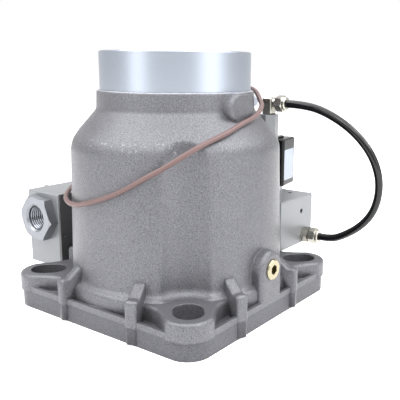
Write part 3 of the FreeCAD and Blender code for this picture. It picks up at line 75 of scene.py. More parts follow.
def make_camera():
    """Adds the camera; its shift puts the optical centre where the photograph has it."""
    data = bpy.data.cameras.new("photo_camera")
    data.sensor_width = SENSOR_MM
    data.lens = FOCAL_PX / IMAGE_PX * SENSOR_MM
    data.shift_x = (IMAGE_PX / 2 - OPTICAL_CENTRE_PX[0]) / IMAGE_PX
    data.shift_y = (OPTICAL_CENTRE_PX[1] - IMAGE_PX / 2) / IMAGE_PX
    data.clip_start, data.clip_end = CAMERA_CLIP
    pitch, yaw, roll = CAMERA_PITCH, CAMERA_YAW, CAMERA_ROLL
    forward = seen_from_front(-sin(yaw) * cos(pitch), cos(yaw) * cos(pitch), -sin(pitch))
    level_right = seen_from_front(cos(yaw), sin(yaw), 0.0)
    level_up = seen_from_front(-sin(yaw) * sin(pitch), cos(yaw) * sin(pitch), cos(pitch))
    right = level_right * cos(roll) - level_up * sin(roll)
    up = level_right * sin(roll) + level_up * cos(roll)
    place = seen_from_front(0.0, -CAMERA_DISTANCE, CAMERA_HEIGHT)
    camera = bpy.data.objects.new("photo_camera", data)
    camera.matrix_world = Matrix((
        (right.x, up.x, -forward.x, place.x),
        (right.y, up.y, -forward.y, place.y),
        (right.z, up.z, -forward.z, place.z),
        (0.0, 0.0, 0.0, 1.0)))
    scene.collection.objects.link(camera)
    scene.camera = camera


# Cords: the pilot hose and the coil lead, each on one smooth curve

CORD_ROUND_STEPS = 7
CORD_LENGTH_STEPS = 14
CORD_ORDER = 3

HOSE_DIAMETER = 6.0 * MM
HOSE_ROUTE = [
    (0.0421, 0.0785, 0.1370),
    (0.0602, 0.0785, 0.1370),
    (0.0804, 0.0815, 0.1295),
    (0.0984, 0.0841, 0.1171),
    (0.1107, 0.0871, 0.1010),
    (0.1151, 0.0910, 0.0817),
    (0.1105, 0.0950, 0.0614),
    (0.0992, 0.0973, 0.0465),
    (0.0824, 0.0998, 0.0352),
    (0.0720, 0.1005, 0.0312),
    (0.0623, 0.1005, 0.0312),
]

LEAD_DIAMETER = 3.2 * MM
CONNECTOR_ANGLE = 63.0
CONNECTOR_RADIUS = 0.0574
CONNECTOR_HEIGHT = 0.1399
CONNECTOR_HALF = 0.0080
CONNECTOR_RUN = 0.0090
COIL_PLACE = Vector((0.0173, 0.1023, 0.0))
COIL_TURN = 9.0
COIL_HALF = (0.0128, 0.0124)
GROMMET_TIP = 0.0208
GROMMET_HEIGHT = 0.0960
GROMMET_RUN = 0.0140

# Degrees round the body, distance from its axis and height, from the connector to the coil
LEAD_ROUTE = [
    (91.0, 0.0636, 0.1396),
    (100.0, 0.0676, 0.1409),
    (103.5, 0.0700, 0.1450),
    (100.0, 0.0692, 0.1495),
    (91.0, 0.0656, 0.1510),
    (80.0, 0.0622, 0.1504),
    (66.5, 0.0593, 0.1492),
    (54.4, 0.0581, 0.1478),
    (46.9, 0.0581, 0.1448),
    (40.3, 0.0583, 0.1416),
    (31.5, 0.0596, 0.1390),
    (19.0, 0.0603, 0.1363),
    (7.2, 0.0613, 0.1325),
    (-9.4, 0.0636, 0.1294),
    (-21.2, 0.0669, 0.1248),
    (-30.6, 0.0697, 0.1216),
    (-41.8, 0.0752, 0.1162),
    (-53.3, 0.0766, 0.1068),
    (-62.3, 0.0768, 0.1004),
    (-71.4, 0.0765, 0.0931),
    (-79.7, 0.0762, 0.0877),
    (-90.4, 0.0763, 0.0825),
    (-98.0, 0.0762, 0.0795),
    (-105.7, 0.0762, 0.0770),
    (-115.7, 0.0766, 0.0758),
    (-127.8, 0.0769, 0.0763),
    (-141.2, 0.0768, 0.0768),
    (-152.6, 0.0772, 0.0790),
    (-166.9, 0.0782, 0.0810),
    (178.2, 0.0797, 0.0829),
    (162.3, 0.0814, 0.0854),
    (145.2, 0.0852, 0.0881),
    (128.3, 0.0911, 0.0918),
    (112.2, 0.1040, 0.0954),
]


def polar(angle, radius, height):
    """A place given by degrees round the body's axis, distance from it and height."""
    return Vector((radius * cos(radians(angle)), radius * sin(radians(angle)), height))


def on_coil(x, y, z):
    """A place given from the middle of the coil, which stands turned on its block."""
    return COIL_PLACE + Matrix.Rotation(radians(COIL_TURN), 3, "Z") @ Vector((x, y, z))


def lead_points():
    """The lead's control points, from the coil's grommet round the body to its connector."""
    middle = polar(CONNECTOR_ANGLE, CONNECTOR_RADIUS, CONNECTOR_HEIGHT)
    away = polar(CONNECTOR_ANGLE + 90.0, 1.0, 0.0)
    points = [middle + away * (CONNECTOR_HALF + run) for run in (0.0, CONNECTOR_RUN)]
    points += [polar(*point) for point in LEAD_ROUTE]
    points += [on_coil(-GROMMET_TIP - run, 0.0, GROMMET_HEIGHT) for run in (GROMMET_RUN, 0.0)]
    return points[::-1]


def nurbs_cord(name, points, diameter):
    """Round cord on one smooth curve that has the route's points as its control points."""
    data = bpy.data.curves.new(name, "CURVE")
    data.dimensions = "3D"
    data.bevel_depth = diameter / 2 / MM
    data.bevel_resolution = CORD_ROUND_STEPS
    data.resolution_u = CORD_LENGTH_STEPS
    data.use_fill_caps = True
    spline = data.splines.new("NURBS")
    spline.points.add(len(points) - 1)
    for control, point in zip(spline.points, points):
        control.co = (*point, 1.0)
        control.radius = MM
    spline.order_u = CORD_ORDER
    spline.use_endpoint_u = True
    cord = bpy.data.objects.new(name, data)
    scene.collection.objects.link(cord)
    return cord


make_camera()
hose = nurbs_cord("pilot_hose_tube", HOSE_ROUTE, HOSE_DIAMETER)
lead = nurbs_cord("coil_lead_cable", lead_points(), LEAD_DIAMETER)


# Springs, the port's thread, the coil's blank label and the outer ends of the ribs

UP = (0.0, 0.0, 1.0)
HELIX_STEPS = 40
WIRE_SIDES = 14
SPRING_GAP = 0.05 * MM

PORT_PLACE = (-0.1078, 0.0, 0.0487)
PORT_AXIS = (0.0, 1.0, 0.0)
PORT_BORE = 0.0093
THREAD_PITCH = 1.81 * MM
THREAD_Y = (-0.0396, -0.0215)
THREAD_TURNS = (THREAD_Y[1] - THREAD_Y[0]) / THREAD_PITCH
THREAD_DEPTH = 0.00070
THREAD_ROOT = (-0.00002, 0.00092)
THREAD_CREST = (-THREAD_DEPTH, 0.00014)

LABEL_Y = (-0.0104, 0.0088)
LABEL_Z = (0.0742, 0.0990)
LABEL_CORNER = 0.0010
LABEL_CORNER_STEPS = 4
LABEL_THICK = 0.00012
LABEL_SUNK = 0.00010

# The flange's parting line, and the stepped ribs that cross it
PARTING_Z = 0.0114
PARTING_STEP = 0.00035
RIB_FACE = 0.0833
RIB_HALF = 0.0041
RIB_LOWER_SHARE = 0.93
RIB_ROOT = 0.0700
RIB_FOOT = 0.0010
RIB_TOP = 0.0285
RIB_ROOT_TOP = 0.0350
RIB_CUT_TOP = 0.0240
RIB_STEP = 0.0058
RIB_BEND = 0.0026
RIB_EDGE = 0.0020
RIB_EDGE_STEPS = 5
RIB_BEND_STEPS = 6
RIB_PLACES = (-0.0355, 0.0295)
RIB_PLACES_TURNED = (-0.0295, 0.0355)
RIB_SIDES = {0: RIB_PLACES, 90: RIB_PLACES_TURNED, 180: RIB_PLACES, 270: RIB_PLACES_TURNED}
DRUM_FOOT = 0.0754


def mesh_object(name, verts, faces, smooth=True):
    """Adds an object made from plain lists of places and faces."""
    mesh = bpy.data.meshes.new(name)
    mesh.from_pydata([tuple(vert) for vert in verts], [], faces)
    if smooth:
        mesh.shade_smooth()
    mesh.update()
    obj = bpy.data.objects.new(name, mesh)
    scene.collection.objects.link(obj)
    return obj


def swept_helix(name, section, radius, low, high, turns, origin, axis, smooth=True):
    """A closed section, given as (out, along) pairs, swept on a helix about an axis."""
    steps = int(turns * HELIX_STEPS)
    lean = Vector(UP).rotation_difference(Vector(axis)).to_matrix()
    count = len(section)
    verts = []
    for step in range(steps + 1):
        share = step / steps
        angle = 2 * pi * turns * share
        outward = Vector((cos(angle), sin(angle), 0.0))
        middle = low + (high - low) * share
        for out, along in section:
            place = outward * (radius + out) + Vector((0.0, 0.0, middle + along))
            verts.append(Vector(origin) + lean @ place)
    faces = []
    for step in range(steps):
        for side in range(count):
            first = step * count + side
            second = step * count + (side + 1) % count
            faces.append((first, second, second + count, first + count))
    faces.append(tuple(reversed(range(count))))
    faces.append(tuple(range(steps * count, (steps + 1) * count)))
    return mesh_object(name, verts, faces, smooth)


def wire_spring(name, wire, radius, low, high, turns, origin, axis):
    """Round wire spring between its two seats, which are given along its axis."""
    half = wire / 2
    ends = (low + SPRING_GAP + half, high - SPRING_GAP - half)
    angles = [2 * pi * side / WIRE_SIDES for side in range(WIRE_SIDES)]
    section = [(half * cos(angle), half * sin(angle)) for angle in angles]
    return swept_helix(name, section, radius, *ends, turns, origin, axis)


def cut_thread():
    """The port's internal thread: one ridge whose section narrows from its root to its crest."""
    section = [
        (THREAD_ROOT[0], -THREAD_ROOT[1]), (THREAD_CREST[0], -THREAD_CREST[1]),
        THREAD_CREST, THREAD_ROOT]
    return swept_helix(
        "port_thread", section, PORT_BORE, *THREAD_Y, THREAD_TURNS, PORT_PLACE, PORT_AXIS,
        smooth=False)


def coil_label():
    """Thin blank plate on the coil's outer face, with rounded corners."""
    face = COIL_HALF[0]
    corner = LABEL_CORNER
    outline = []
    for side, up, start in ((1, 1, 0), (0, 1, 90), (0, 0, 180), (1, 0, 270)):
        centre_y = LABEL_Y[side] + (-corner if side else corner)
        centre_z = LABEL_Z[up] + (-corner if up else corner)
        for step in range(LABEL_CORNER_STEPS + 1):
            angle = radians(start + step * 90.0 / LABEL_CORNER_STEPS)
            outline.append((centre_y + corner * cos(angle), centre_z + corner * sin(angle)))
    count = len(outline)
    verts = [on_coil(x, y, z) for x in (face - LABEL_SUNK, face + LABEL_THICK) for y, z in outline]
    faces = [tuple(reversed(range(count))), tuple(range(count, 2 * count))]
    for side in range(count):
        after = (side + 1) % count
        faces.append((side, after, after + count, side + count))
    return mesh_object("coil_label", verts, faces, smooth=False)


def arc_corners(points, radius):
    """An open line of (a, b) points with each inner corner rounded."""
    line = [Vector(points[0])]
    for before, corner, after in zip(points, points[1:], points[2:]):
        corner = Vector(corner)
        back = (Vector(before) - corner).normalized()
        ahead = (Vector(after) - corner).normalized()
        half = back.angle(ahead) / 2
        centre = corner + (back + ahead).normalized() * (radius / sin(half))
        start = corner + back * (radius / tan(half)) - centre
        end = corner + ahead * (radius / tan(half)) - centre
        for step in range(RIB_BEND_STEPS + 1):
            share = step / RIB_BEND_STEPS
            line.append(centre + (start * (1 - share) + end * share).normalized() * radius)
    return line + [Vector(points[-1])]


def rib_outline(face, cut_top=None):
    """Side view of a rib, from the foot of its face to its root, as (distance out, height)."""
    above_line = (face, PARTING_Z + MM)
    if cut_top is not None:
        upper = arc_corners([above_line, (face, cut_top), (RIB_ROOT, cut_top)], RIB_EDGE)
    else:
        upper = arc_corners([
            above_line, (face, RIB_TOP), (face - RIB_STEP, RIB_TOP),
            (DRUM_FOOT, RIB_ROOT_TOP), (RIB_ROOT, RIB_ROOT_TOP)], RIB_BEND)
    lower = face - PARTING_STEP
    foot = [(lower, RIB_FOOT), (lower, PARTING_Z), (face, PARTING_Z + PARTING_STEP)]
    return [Vector(point) for point in foot] + upper


def rib_slices():
    """Places across a rib and how far its outline draws in there, so that its edges are round."""
    side = []
    for step in range(RIB_EDGE_STEPS + 1):
        turn = radians(90.0 * step / RIB_EDGE_STEPS)
        side.append((RIB_HALF - RIB_EDGE + RIB_EDGE * sin(turn), RIB_EDGE * (1 - cos(turn))))
    return [(-across, inset) for across, inset in reversed(side)] + side


def rib_mesh(verts, faces, spot, cut_top=None):
    """Adds one rib, which points away from the axis and has its face at a spot of the flange."""
    turn = atan2(spot.y, spot.x)
    outward = Vector((cos(turn), sin(turn), 0.0))
    across = Vector((-sin(turn), cos(turn), 0.0))
    outline = rib_outline(spot.length, cut_top)
    normals = []
    for index in range(len(outline)):
        ahead = outline[min(index + 1, len(outline) - 1)] - outline[max(index - 1, 0)]
        normals.append(Vector((ahead.y, -ahead.x)).normalized())
    normals[0] = normals[1] = normals[2] = Vector((1.0, 0.0))
    normals[-1] = Vector((0.0, 1.0))
    first = len(verts)
    slices = rib_slices()
    for place, inset in slices:
        loop = [point - normal * inset for point, normal in zip(outline, normals)]
        loop += [Vector((RIB_ROOT, RIB_FOOT))]
        for point in loop:
            width = place * (RIB_LOWER_SHARE if point.y <= PARTING_Z else 1.0)
            verts.append(outward * point.x + across * width + Vector((0.0, 0.0, point.y)))
    count = len(outline) + 1
    for step in range(len(slices) - 1):
        for side in range(count):
            low = first + step * count + side
            high = first + step * count + (side + 1) % count
            faces.append((low, high, high + count, low + count))
    faces.append(tuple(range(first + count - 1, first - 1, -1)))
    last = first + (len(slices) - 1) * count
    faces.append(tuple(range(last, last + count)))


def casting_ribs():
    """The ribs' full outer ends, which stand proud of the flange's sides; two on each side."""
    verts = []
    faces = []
    for turn, places in RIB_SIDES.items():
        for place in places:
            spot = Matrix.Rotation(radians(turn), 2) @ Vector((RIB_FACE, place))
            under_manifold = turn == 90 and place < 0
            rib_mesh(verts, faces, spot, RIB_CUT_TOP if under_manifold else None)
    return mesh_object("casting_ribs", verts, faces)


closing_coil = wire_spring(
    "closing_spring_wire", wire=2.6 * MM, radius=14.6 * MM, low=0.030, high=0.066, turns=5.0,
    origin=(0.0, 0.0, 0.0), axis=UP)
blowoff_coil = wire_spring(
    "blowoff_spring_wire", wire=1.4 * MM, radius=6.9 * MM, low=0.014, high=0.036, turns=6.0,
    origin=PORT_PLACE, axis=PORT_AXIS)
plunger_coil = wire_spring(
    "plunger_spring_wire", wire=0.6 * MM, radius=2.3 * MM, low=0.082, high=0.098, turns=6.0,
    origin=COIL_PLACE, axis=UP)
label = coil_label()
ribs = casting_ribs()
thread = cut_thread()


# Materials: each is a node graph with its own grain, tone, worn edges and bump

BEVEL_SAMPLES = 6
WEAR_GAIN = 4.0
WEAR_SCALE = 260.0

CAST_COLOR = (98, 98, 102)
FLANGE_COLOR = (78, 78, 83)
FLANGE_SHARE = 0.80
FLANGE_BLEND = 0.8 * MM
# Heights of the shoulder fold, where bright flecks are painted in as its highlight
FOLD_GLINT_Z = (0.1115, 0.1180)
FOLD_GLINT_BLEND = 3.0 * MM
RIM_COLOR = (150, 152, 158)
RIM_Z = 0.1478
RIM_BLEND = 0.3 * MM
PIPE_COLOR = (152, 158, 168)
MILLED_COLOR = (126, 128, 131)
PLATE_COLOR = (80, 80, 82)
# Painted shade in the port thread's roots and a painted highlight on its crests
THREAD_ROOT_SHADE_COLOR = (24, 25, 27)
THREAD_CREST_HIGHLIGHT_COLOR = (158, 162, 170)
THREAD_CREST_POWER = 1.6


def linear(red, green, blue):
    """Colour written as 0-255 display values, as linear light."""
    return tuple(((value / 255 + 0.055) / 1.055) ** 2.4 if value > 10 else value / 255 / 12.92
                 for value in (red, green, blue))


class Finish:
    """A Principled material with helpers that add nodes to it."""

    def __init__(self, name, color, metallic, roughness, specular=0.5):
        self.material = bpy.data.materials.new(name)
        self.material.use_nodes = True
        self.nodes = self.material.node_tree.nodes
        self.links = self.material.node_tree.links
        self.shader = self.nodes["Principled BSDF"]
        self.color = linear(*color)
        self.shader.inputs["Metallic"].default_value = metallic
        self.shader.inputs["Roughness"].default_value = roughness
        self.shader.inputs["Specular IOR Level"].default_value = specular
        self.shader.inputs["Base Color"].default_value = (*self.color, 1.0)
        self.roughness = roughness
        self.place = self.add("ShaderNodeTexCoord").outputs["Object"]
        self.gain = None
        self.normal = None
        self.tints = []

    def add(self, kind, **inputs):
        """Adds a node; an underscore in a keyword stands for the space in the socket's name."""
        node = self.nodes.new(kind)
        for name, value in inputs.items():
            self.feed(node.inputs[name.replace("_", " ")], value)
        return node

    def feed(self, socket, value):
        """Links a value from another node, or sets a constant."""
        if isinstance(value, bpy.types.NodeSocket):
            self.links.new(value, socket)
        else:
            socket.default_value = value

    def math(self, operation, first, second=0.0, third=0.0, clamp=False):
        node = self.nodes.new("ShaderNodeMath")
        node.operation = operation
        node.use_clamp = clamp
        for socket, value in zip(node.inputs, (first, second, third)):
            self.feed(socket, value)
        return node.outputs[0]

    def stretched(self, scale):
        """Object coordinates scaled along each axis, for grain that runs in lines."""
        return self.add("ShaderNodeMapping", Vector=self.place, Scale=scale).outputs[0]

    def noise(self, scale, detail=3.0, roughness=0.55, place=None):
        node = self.add(
            "ShaderNodeTexNoise", Vector=place or self.place, Scale=scale, Detail=detail,
            Roughness=roughness)
        return node.outputs[0]

    def centred(self, value, amount):
        """A 0 to 1 value as a gain that swings by amount about zero."""
        return self.math("MULTIPLY_ADD", value, 2 * amount, -amount)

    def brighten(self, value):
        """Adds a gain to the base colour."""
        self.gain = value if self.gain is None else self.math("ADD", self.gain, value)

    def rough_by(self, value, amount):
        """Lets a 0 to 1 value swing the roughness by amount about its plain level."""
        rough = self.math("MULTIPLY_ADD", value, 2 * amount, self.roughness - amount, clamp=True)
        self.feed(self.shader.inputs["Roughness"], rough)

    def soften_edges(self, radius_mm, gain=0.0):
        """Rounds sharp edges in the shading and lightens them as handling does."""
        bevel = self.nodes.new("ShaderNodeBevel")
        bevel.samples = BEVEL_SAMPLES
        bevel.inputs["Radius"].default_value = radius_mm * MM
        self.normal = bevel.outputs[0]
        if gain:
            face = self.nodes.new("ShaderNodeNewGeometry").outputs["Normal"]
            dot = self.nodes.new("ShaderNodeVectorMath")
            dot.operation = "DOT_PRODUCT"
            self.links.new(bevel.outputs[0], dot.inputs[0])
            self.links.new(face, dot.inputs[1])
            edge = self.math("SUBTRACT", 1.0, dot.outputs["Value"], clamp=True)
            edge = self.math("MULTIPLY", edge, WEAR_GAIN, clamp=True)
            patchy = self.noise(WEAR_SCALE, detail=2.0)
            self.brighten(self.math("MULTIPLY", self.math("MULTIPLY", edge, patchy), gain))

    def above(self, level, blend):
        """1 where the surface lies higher than a level, 0 where it lies lower, with a soft step."""
        height = self.add("ShaderNodeSeparateXYZ", Vector=self.place).outputs[2]
        return self.math("DIVIDE", self.math("SUBTRACT", height, level), blend, clamp=True)

    def below(self, level, blend):
        """1 where the surface lies lower than a level, 0 where it lies higher."""
        return self.math("SUBTRACT", 1.0, self.above(level, blend))

    def bump(self, height, depth_mm, strength):
        """Adds relief to the shading, on top of any that is there already."""
        node = self.add("ShaderNodeBump", Height=height, Strength=strength, Distance=depth_mm * MM)
        if self.normal is not None:
            self.links.new(self.normal, node.inputs["Normal"])
        self.normal = node.outputs[0]

    def tint(self, value, color):
        """Mixes another colour into the base colour where value is high."""
        self.tints.append((value, linear(*color)))

    def done(self):
        """Joins base colour, tints, gain and relief to the shader, and gives the material."""
        base = self.add("ShaderNodeRGB").outputs[0]
        base.default_value = (*self.color, 1.0)
        for value, color in self.tints:
            mix = self.nodes.new("ShaderNodeMix")
            mix.data_type = "RGBA"
            self.feed(mix.inputs[0], value)
            self.links.new(base, mix.inputs[6])
            mix.inputs[7].default_value = (*color, 1.0)
            base = mix.outputs[2]
        if self.gain is not None:
            scale = self.nodes.new("ShaderNodeVectorMath")
            scale.operation = "SCALE"
            self.links.new(base, scale.inputs[0])
            self.links.new(self.math("ADD", self.gain, 1.0), scale.inputs["Scale"])
            base = scale.outputs[0]
        if self.gain is not None or self.tints:
            self.links.new(base, self.shader.inputs["Base Color"])
        if self.normal is not None:
            self.links.new(self.normal, self.shader.inputs["Normal"])
        return self.material


def cast_aluminium():
    """Blasted sand casting: grain, cloudy tone, worn edges, darker flange, a faced neck rim,
    painted sparkle glints all over and a band of painted highlight flecks on the shoulder fold.
    """
    f = Finish("cast_aluminium", CAST_COLOR, metallic=0.50, roughness=0.38, specular=0.2)
    f.soften_edges(radius_mm=0.9, gain=0.55)
    cloud = f.noise(scale=22.0, detail=5.0, roughness=0.6)
    grain = f.noise(scale=1500.0, detail=3.0, roughness=0.85)
    speck = f.noise(scale=600.0, detail=2.0, roughness=0.6)
    f.brighten(f.centred(cloud, 0.12))
    f.brighten(f.centred(grain, 1.40))
    f.brighten(f.centred(speck, 0.16))
    # Painted glints: scattered bright flecks stand in for the sparkle of the blasted surface
    fleck = f.math("GREATER_THAN", f.noise(scale=760.0, detail=2.0, roughness=0.5), 0.70)
    f.brighten(f.math("MULTIPLY", fleck, 0.40))
    # Painted highlight: bright flecks in a band round the shoulder fold
    fold_glint_band = f.math("MULTIPLY", f.above(FOLD_GLINT_Z[0], FOLD_GLINT_BLEND), f.below(FOLD_GLINT_Z[1], FOLD_GLINT_BLEND))
    glint_flecks = f.math("GREATER_THAN", f.noise(scale=600.0, detail=3.0, roughness=0.5), 0.65)
    f.brighten(f.math("MULTIPLY", f.math("MULTIPLY", glint_flecks, fold_glint_band), 0.85))
    f.rough_by(speck, 0.14)
    flange = f.math("MULTIPLY", f.below(PARTING_Z, FLANGE_BLEND), FLANGE_SHARE)
    f.tint(flange, FLANGE_COLOR)
    f.tint(f.above(RIM_Z, RIM_BLEND), RIM_COLOR)
    f.bump(grain, depth_mm=0.26, strength=0.60)
    f.bump(f.noise(scale=180.0), depth_mm=0.35, strength=0.40)
    return f.done()


def turned_aluminium():
    """Satin turned aluminium with fine rings round the axis."""
    f = Finish("turned_aluminium", PIPE_COLOR, metallic=1.0, roughness=0.34)
    f.soften_edges(radius_mm=0.35, gain=0.15)
    rings = f.noise(scale=60.0, detail=4.0, roughness=0.7, place=f.stretched((1.0, 1.0, 60.0)))
    smudge = f.noise(scale=30.0, roughness=0.5)
    f.brighten(f.centred(rings, 0.035))
    f.brighten(f.centred(smudge, 0.02))
    f.rough_by(rings, 0.04)
    f.bump(rings, depth_mm=0.008, strength=0.4)
    return f.done()


def milled_aluminium():
    """Milled block: faint parallel cutter marks under a satin surface."""
    f = Finish("milled_aluminium", MILLED_COLOR, metallic=0.45, roughness=0.42)
    f.soften_edges(radius_mm=0.4, gain=0.25)
    marks = f.noise(scale=90.0, roughness=0.6, place=f.stretched((1.0, 14.0, 1.0)))
    cloud = f.noise(scale=35.0, detail=4.0, roughness=0.6)
    grain = f.noise(scale=900.0, detail=2.0)
    f.brighten(f.centred(cloud, 0.06))
    f.brighten(f.centred(marks, 0.05))
    f.brighten(f.centred(grain, 0.05))
    f.rough_by(marks, 0.08)
    f.bump(marks, depth_mm=0.02, strength=0.5)
    return f.done()


def black_plate():
    """Satin black plate with rubbed edges."""
    f = Finish("black_plate", PLATE_COLOR, metallic=0.0, roughness=0.42)
    f.soften_edges(radius_mm=0.4, gain=1.2)
    f.brighten(f.centred(f.noise(scale=60.0, detail=4.0), 0.18))
    f.brighten(f.centred(f.noise(scale=1400.0, detail=2.0), 0.20))
    f.bump(f.noise(scale=1400.0, detail=2.0), depth_mm=0.03, strength=0.4)
    return f.done()


def metal(name, color, roughness, edge_mm=0.25, rings=None, cloud=0.10, metallic=1.0):
    """Small plated or bare part, with turning marks along the axis that rings names, if any."""
    f = Finish(name, color, metallic, roughness)
    f.soften_edges(edge_mm, gain=0.3)
    f.brighten(f.centred(f.noise(scale=120.0, detail=4.0, roughness=0.6), cloud))
    if rings is not None:
        stretch = [1.0, 1.0, 1.0]
        stretch[rings] = 30.0
        marks = f.noise(scale=150.0, roughness=0.6, place=f.stretched(stretch))
        f.brighten(f.centred(marks, 0.08))
        f.rough_by(marks, 0.07)
        f.bump(marks, depth_mm=0.01, strength=0.5)
    else:
        f.rough_by(f.noise(scale=300.0), 0.06)
        f.bump(f.noise(scale=500.0, detail=2.0), depth_mm=0.01, strength=0.4)
    return f.done()


def plastic(
        name, color, roughness, grain=0.06, grain_scale=900.0, depth_mm=0.03, edge_mm=0.3, edge=0.4,
        specular=0.5):
    """Moulded or fibrous part with a fine even grain."""
    f = Finish(name, color, 0.0, roughness, specular)
    f.soften_edges(edge_mm, edge)
    texture = f.noise(grain_scale, roughness=0.6)
    f.brighten(f.centred(f.noise(scale=70.0, detail=4.0), grain))
    f.brighten(f.centred(texture, grain))
    f.rough_by(f.noise(scale=160.0), 0.05)
    f.bump(texture, depth_mm, strength=0.5)
    return f.done()


def port_thread_painted_shade():
    """Cut thread: painted shade in the roots and a painted highlight on the crests, told apart by
    distance from the port's axis.
    """
    f = Finish("port_thread_painted_shade", THREAD_ROOT_SHADE_COLOR, metallic=0.9, roughness=0.28)
    beside = f.add("ShaderNodeVectorMath")
    f.links.new(f.place, beside.inputs[0])
    beside.inputs[1].default_value = PORT_PLACE
    beside.operation = "SUBTRACT"
    across = f.add("ShaderNodeVectorMath", Vector=beside.outputs[0])
    across.operation = "MULTIPLY"
    across.inputs[1].default_value = (1.0, 0.0, 1.0)
    length = f.add("ShaderNodeVectorMath", Vector=across.outputs[0])
    length.operation = "LENGTH"
    depth = f.math("SUBTRACT", PORT_BORE, length.outputs["Value"])
    share = f.math("DIVIDE", depth, THREAD_DEPTH, clamp=True)
    f.tint(f.math("POWER", share, THREAD_CREST_POWER), THREAD_CREST_HIGHLIGHT_COLOR)
    f.brighten(f.centred(f.noise(scale=300.0), 0.10))
    f.bump(f.noise(scale=900.0, detail=2.0), depth_mm=0.01, strength=0.4)
    return f.done()


FINISHES = {
    "cast_aluminium": cast_aluminium(),
    "turned_aluminium": turned_aluminium(),
    "milled_aluminium": milled_aluminium(),
    "black_plate": black_plate(),
    "plug_brass": metal("plug_brass", (150, 143, 120), 0.22, rings=0),
    "fitting_nickel": metal("fitting_nickel", (166, 163, 154), 0.24, rings=0),
    "zinc_steel": metal("zinc_steel", (128, 130, 135), 0.38, rings=1, metallic=0.75),
    "black_steel": metal("black_steel", (66, 66, 70), 0.40),
    "spring_steel": metal("spring_steel", (148, 148, 152), 0.28, cloud=0.14),
    "stainless": metal("stainless", (186, 187, 190), 0.26, rings=2),
    "bronze": metal("bronze", (176, 140, 92), 0.34, rings=2),
    "rubber_black": plastic(
        "rubber_black", (38, 38, 40), 0.62, grain=0.12, grain_scale=1600.0, depth_mm=0.02,
        edge=0.2),
    "ptfe": plastic("ptfe", (92, 78, 66), 0.45),
    "gasket_fibre": plastic(
        "gasket_fibre", (92, 100, 98), 0.85, grain=0.25, grain_scale=700.0),
    "coil_black": plastic(
        "coil_black", (8, 8, 10), 0.24, grain=0.10, grain_scale=1300.0, edge=0.9, specular=0.2),
    "hose_black": plastic(
        "hose_black", (8, 8, 10), 0.09, grain=0.10, depth_mm=0.003, edge_mm=0.1, edge=0.0,
        specular=0.35),
    "lead_red_brown": plastic(
        "lead_red_brown", (96, 74, 72), 0.50, grain=0.07, depth_mm=0.02, edge=0.0),
    "nylon_white": plastic("nylon_white", (156, 163, 174), 0.42, grain=0.03),
}


def finish_cad_nodes():
    """Gives each CAD node the material of its slot."""
    slot_of = {row["node"]: row["material_slot"] for row in frame["record"]["subparts"]}
    for name, node in nodes.items():
        node.data.materials.clear()
        node.data.materials.append(FINISHES[slot_of[name]])


finish_cad_nodes()


# Stage: a pale floor, a white surround and soft plain light

WHITE = (1.0, 1.0, 1.0, 1.0)
WORLD_LIGHT = 0.24
FLOOR_GLOW = 0.80
FLOOR_COLOR = (0.86, 0.86, 0.86, 1.0)
FLOOR_ROUGHNESS = 0.9
FLOOR_SPECULAR = 0.1
FLOOR_HALF = 30.0
FLOOR_Z = -0.2 * MM
LAMP_AIM = Vector((0.0, 0.0, 0.09))

# Name, degrees to the right of the camera, height, distance, width, tallness, watts
LAMPS = (
    ("soft_box_right", 54.0, 0.35, 0.95, 1.00, 0.9, 1.5),
    ("strip_right", 52.0, 0.35, 1.00, 0.56, 0.9, 2.7),
    ("soft_box_left", -55.0, 0.35, 0.95, 0.60, 0.9, 0.8),
    ("strip_left", -56.0, 0.35, 1.00, 0.38, 0.9, 1.75),
    ("strip_high", 5.0, 0.80, 0.80, 1.50, 0.3, 5.5),
    ("high_left", -82.0, 0.80, 0.80, 0.7, 0.5, 6.0),
    ("high_right", 82.0, 0.80, 0.80, 0.7, 0.5, 6.0),
    ("ceiling", 0.0, 1.20, 0.00, 1.9, 1.8, 37.0),
    ("small_lamp", -8.0, 0.90, 0.70, 0.10, 0.1, 0.6),
)


def seen_directly(tree):
    """1 for camera, mirror and glass rays, and 0 for the rest."""
    path = tree.nodes.new("ShaderNodeLightPath")
    seen = path.outputs["Is Camera Ray"]
    for kind in ("Is Glossy Ray", "Is Transmission Ray"):
        either = tree.nodes.new("ShaderNodeMath")
        either.operation = "MAXIMUM"
        tree.links.new(seen, either.inputs[0])
        tree.links.new(path.outputs[kind], either.inputs[1])
        seen = either.outputs[0]
    return seen


def make_world():
    """White surround that looks full white and lights the object only a little."""
    world = bpy.data.worlds.new("studio")
    world.use_nodes = True
    tree = world.node_tree
    background = tree.nodes["Background"]
    background.inputs["Color"].default_value = WHITE
    strength = tree.nodes.new("ShaderNodeMath")
    strength.operation = "MULTIPLY_ADD"
    tree.links.new(seen_directly(tree), strength.inputs[0])
    strength.inputs[1].default_value = 1.0 - WORLD_LIGHT
    strength.inputs[2].default_value = WORLD_LIGHT
    tree.links.new(strength.outputs[0], background.inputs["Strength"])
    scene.world = world


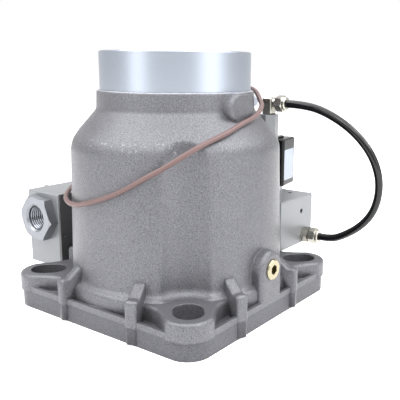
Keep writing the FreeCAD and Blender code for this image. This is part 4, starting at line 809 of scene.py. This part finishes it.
def make_floor():
    """Pale floor that stays white to the camera but keeps the object's shadow."""
    half = FLOOR_HALF
    corners = [(-half, -half, 0.0), (half, -half, 0.0), (half, half, 0.0), (-half, half, 0.0)]
    floor = mesh_object("floor", corners, [(0, 1, 2, 3)], smooth=False)
    floor.location.z = FLOOR_Z
    material = bpy.data.materials.new("floor_white")
    material.use_nodes = True
    tree = material.node_tree
    shader = tree.nodes["Principled BSDF"]
    shader.inputs["Base Color"].default_value = FLOOR_COLOR
    shader.inputs["Roughness"].default_value = FLOOR_ROUGHNESS
    shader.inputs["Specular IOR Level"].default_value = FLOOR_SPECULAR
    shader.inputs["Emission Color"].default_value = WHITE
    glow = tree.nodes.new("ShaderNodeMath")
    glow.operation = "MULTIPLY"
    tree.links.new(seen_directly(tree), glow.inputs[0])
    glow.inputs[1].default_value = FLOOR_GLOW
    tree.links.new(glow.outputs[0], shader.inputs["Emission Strength"])
    floor.data.materials.append(material)


def soft_box(name, side_angle, height, distance, width, tall, power):
    """Rectangular soft light that looks at the object's middle."""
    data = bpy.data.lights.new(name, "AREA")
    data.shape = "RECTANGLE"
    data.size = width
    data.size_y = tall
    data.energy = power
    light = bpy.data.objects.new(name, data)
    angle = radians(side_angle)
    place = seen_from_front(sin(angle) * distance, -cos(angle) * distance, height)
    light.location = place
    light.rotation_mode = "QUATERNION"
    light.rotation_quaternion = (LAMP_AIM - place).to_track_quat("-Z", "Y")
    scene.collection.objects.link(light)


make_world()
make_floor()
for lamp in LAMPS:
    soft_box(*lamp)


# Riding and cords

def stands_for(piece, body, slot, node=None):
    """Puts a piece on its body, in its finish, in place of its CAD node if it has one."""
    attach(piece, body)
    piece.data.materials.append(FINISHES[slot])
    if node:
        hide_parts(node)


stands_for(closing_coil, "valve_body", "spring_steel", "closing_spring")
stands_for(blowoff_coil, "valve_body", "spring_steel", "blowoff_spring")
stands_for(plunger_coil, "valve_body", "spring_steel", "plunger_spring")
stands_for(label, "valve_body", "nylon_white")
stands_for(ribs, "valve_body", "cast_aluminium")
stands_for(thread, "valve_body", "zinc_steel")
# The thread's own material paints shade into its roots and a highlight onto its crests
thread.data.materials[0] = port_thread_painted_shade()
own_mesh(closing_coil)
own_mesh(blowoff_coil)
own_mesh(plunger_coil)

stands_for(hose, "valve_body", "hose_black", "pilot_hose")

stands_for(lead, "valve_body", "lead_red_brown", "coil_lead")
lead_points()[0]

scene.view_settings.view_transform = "Standard"


bpy.context.view_layer.update()
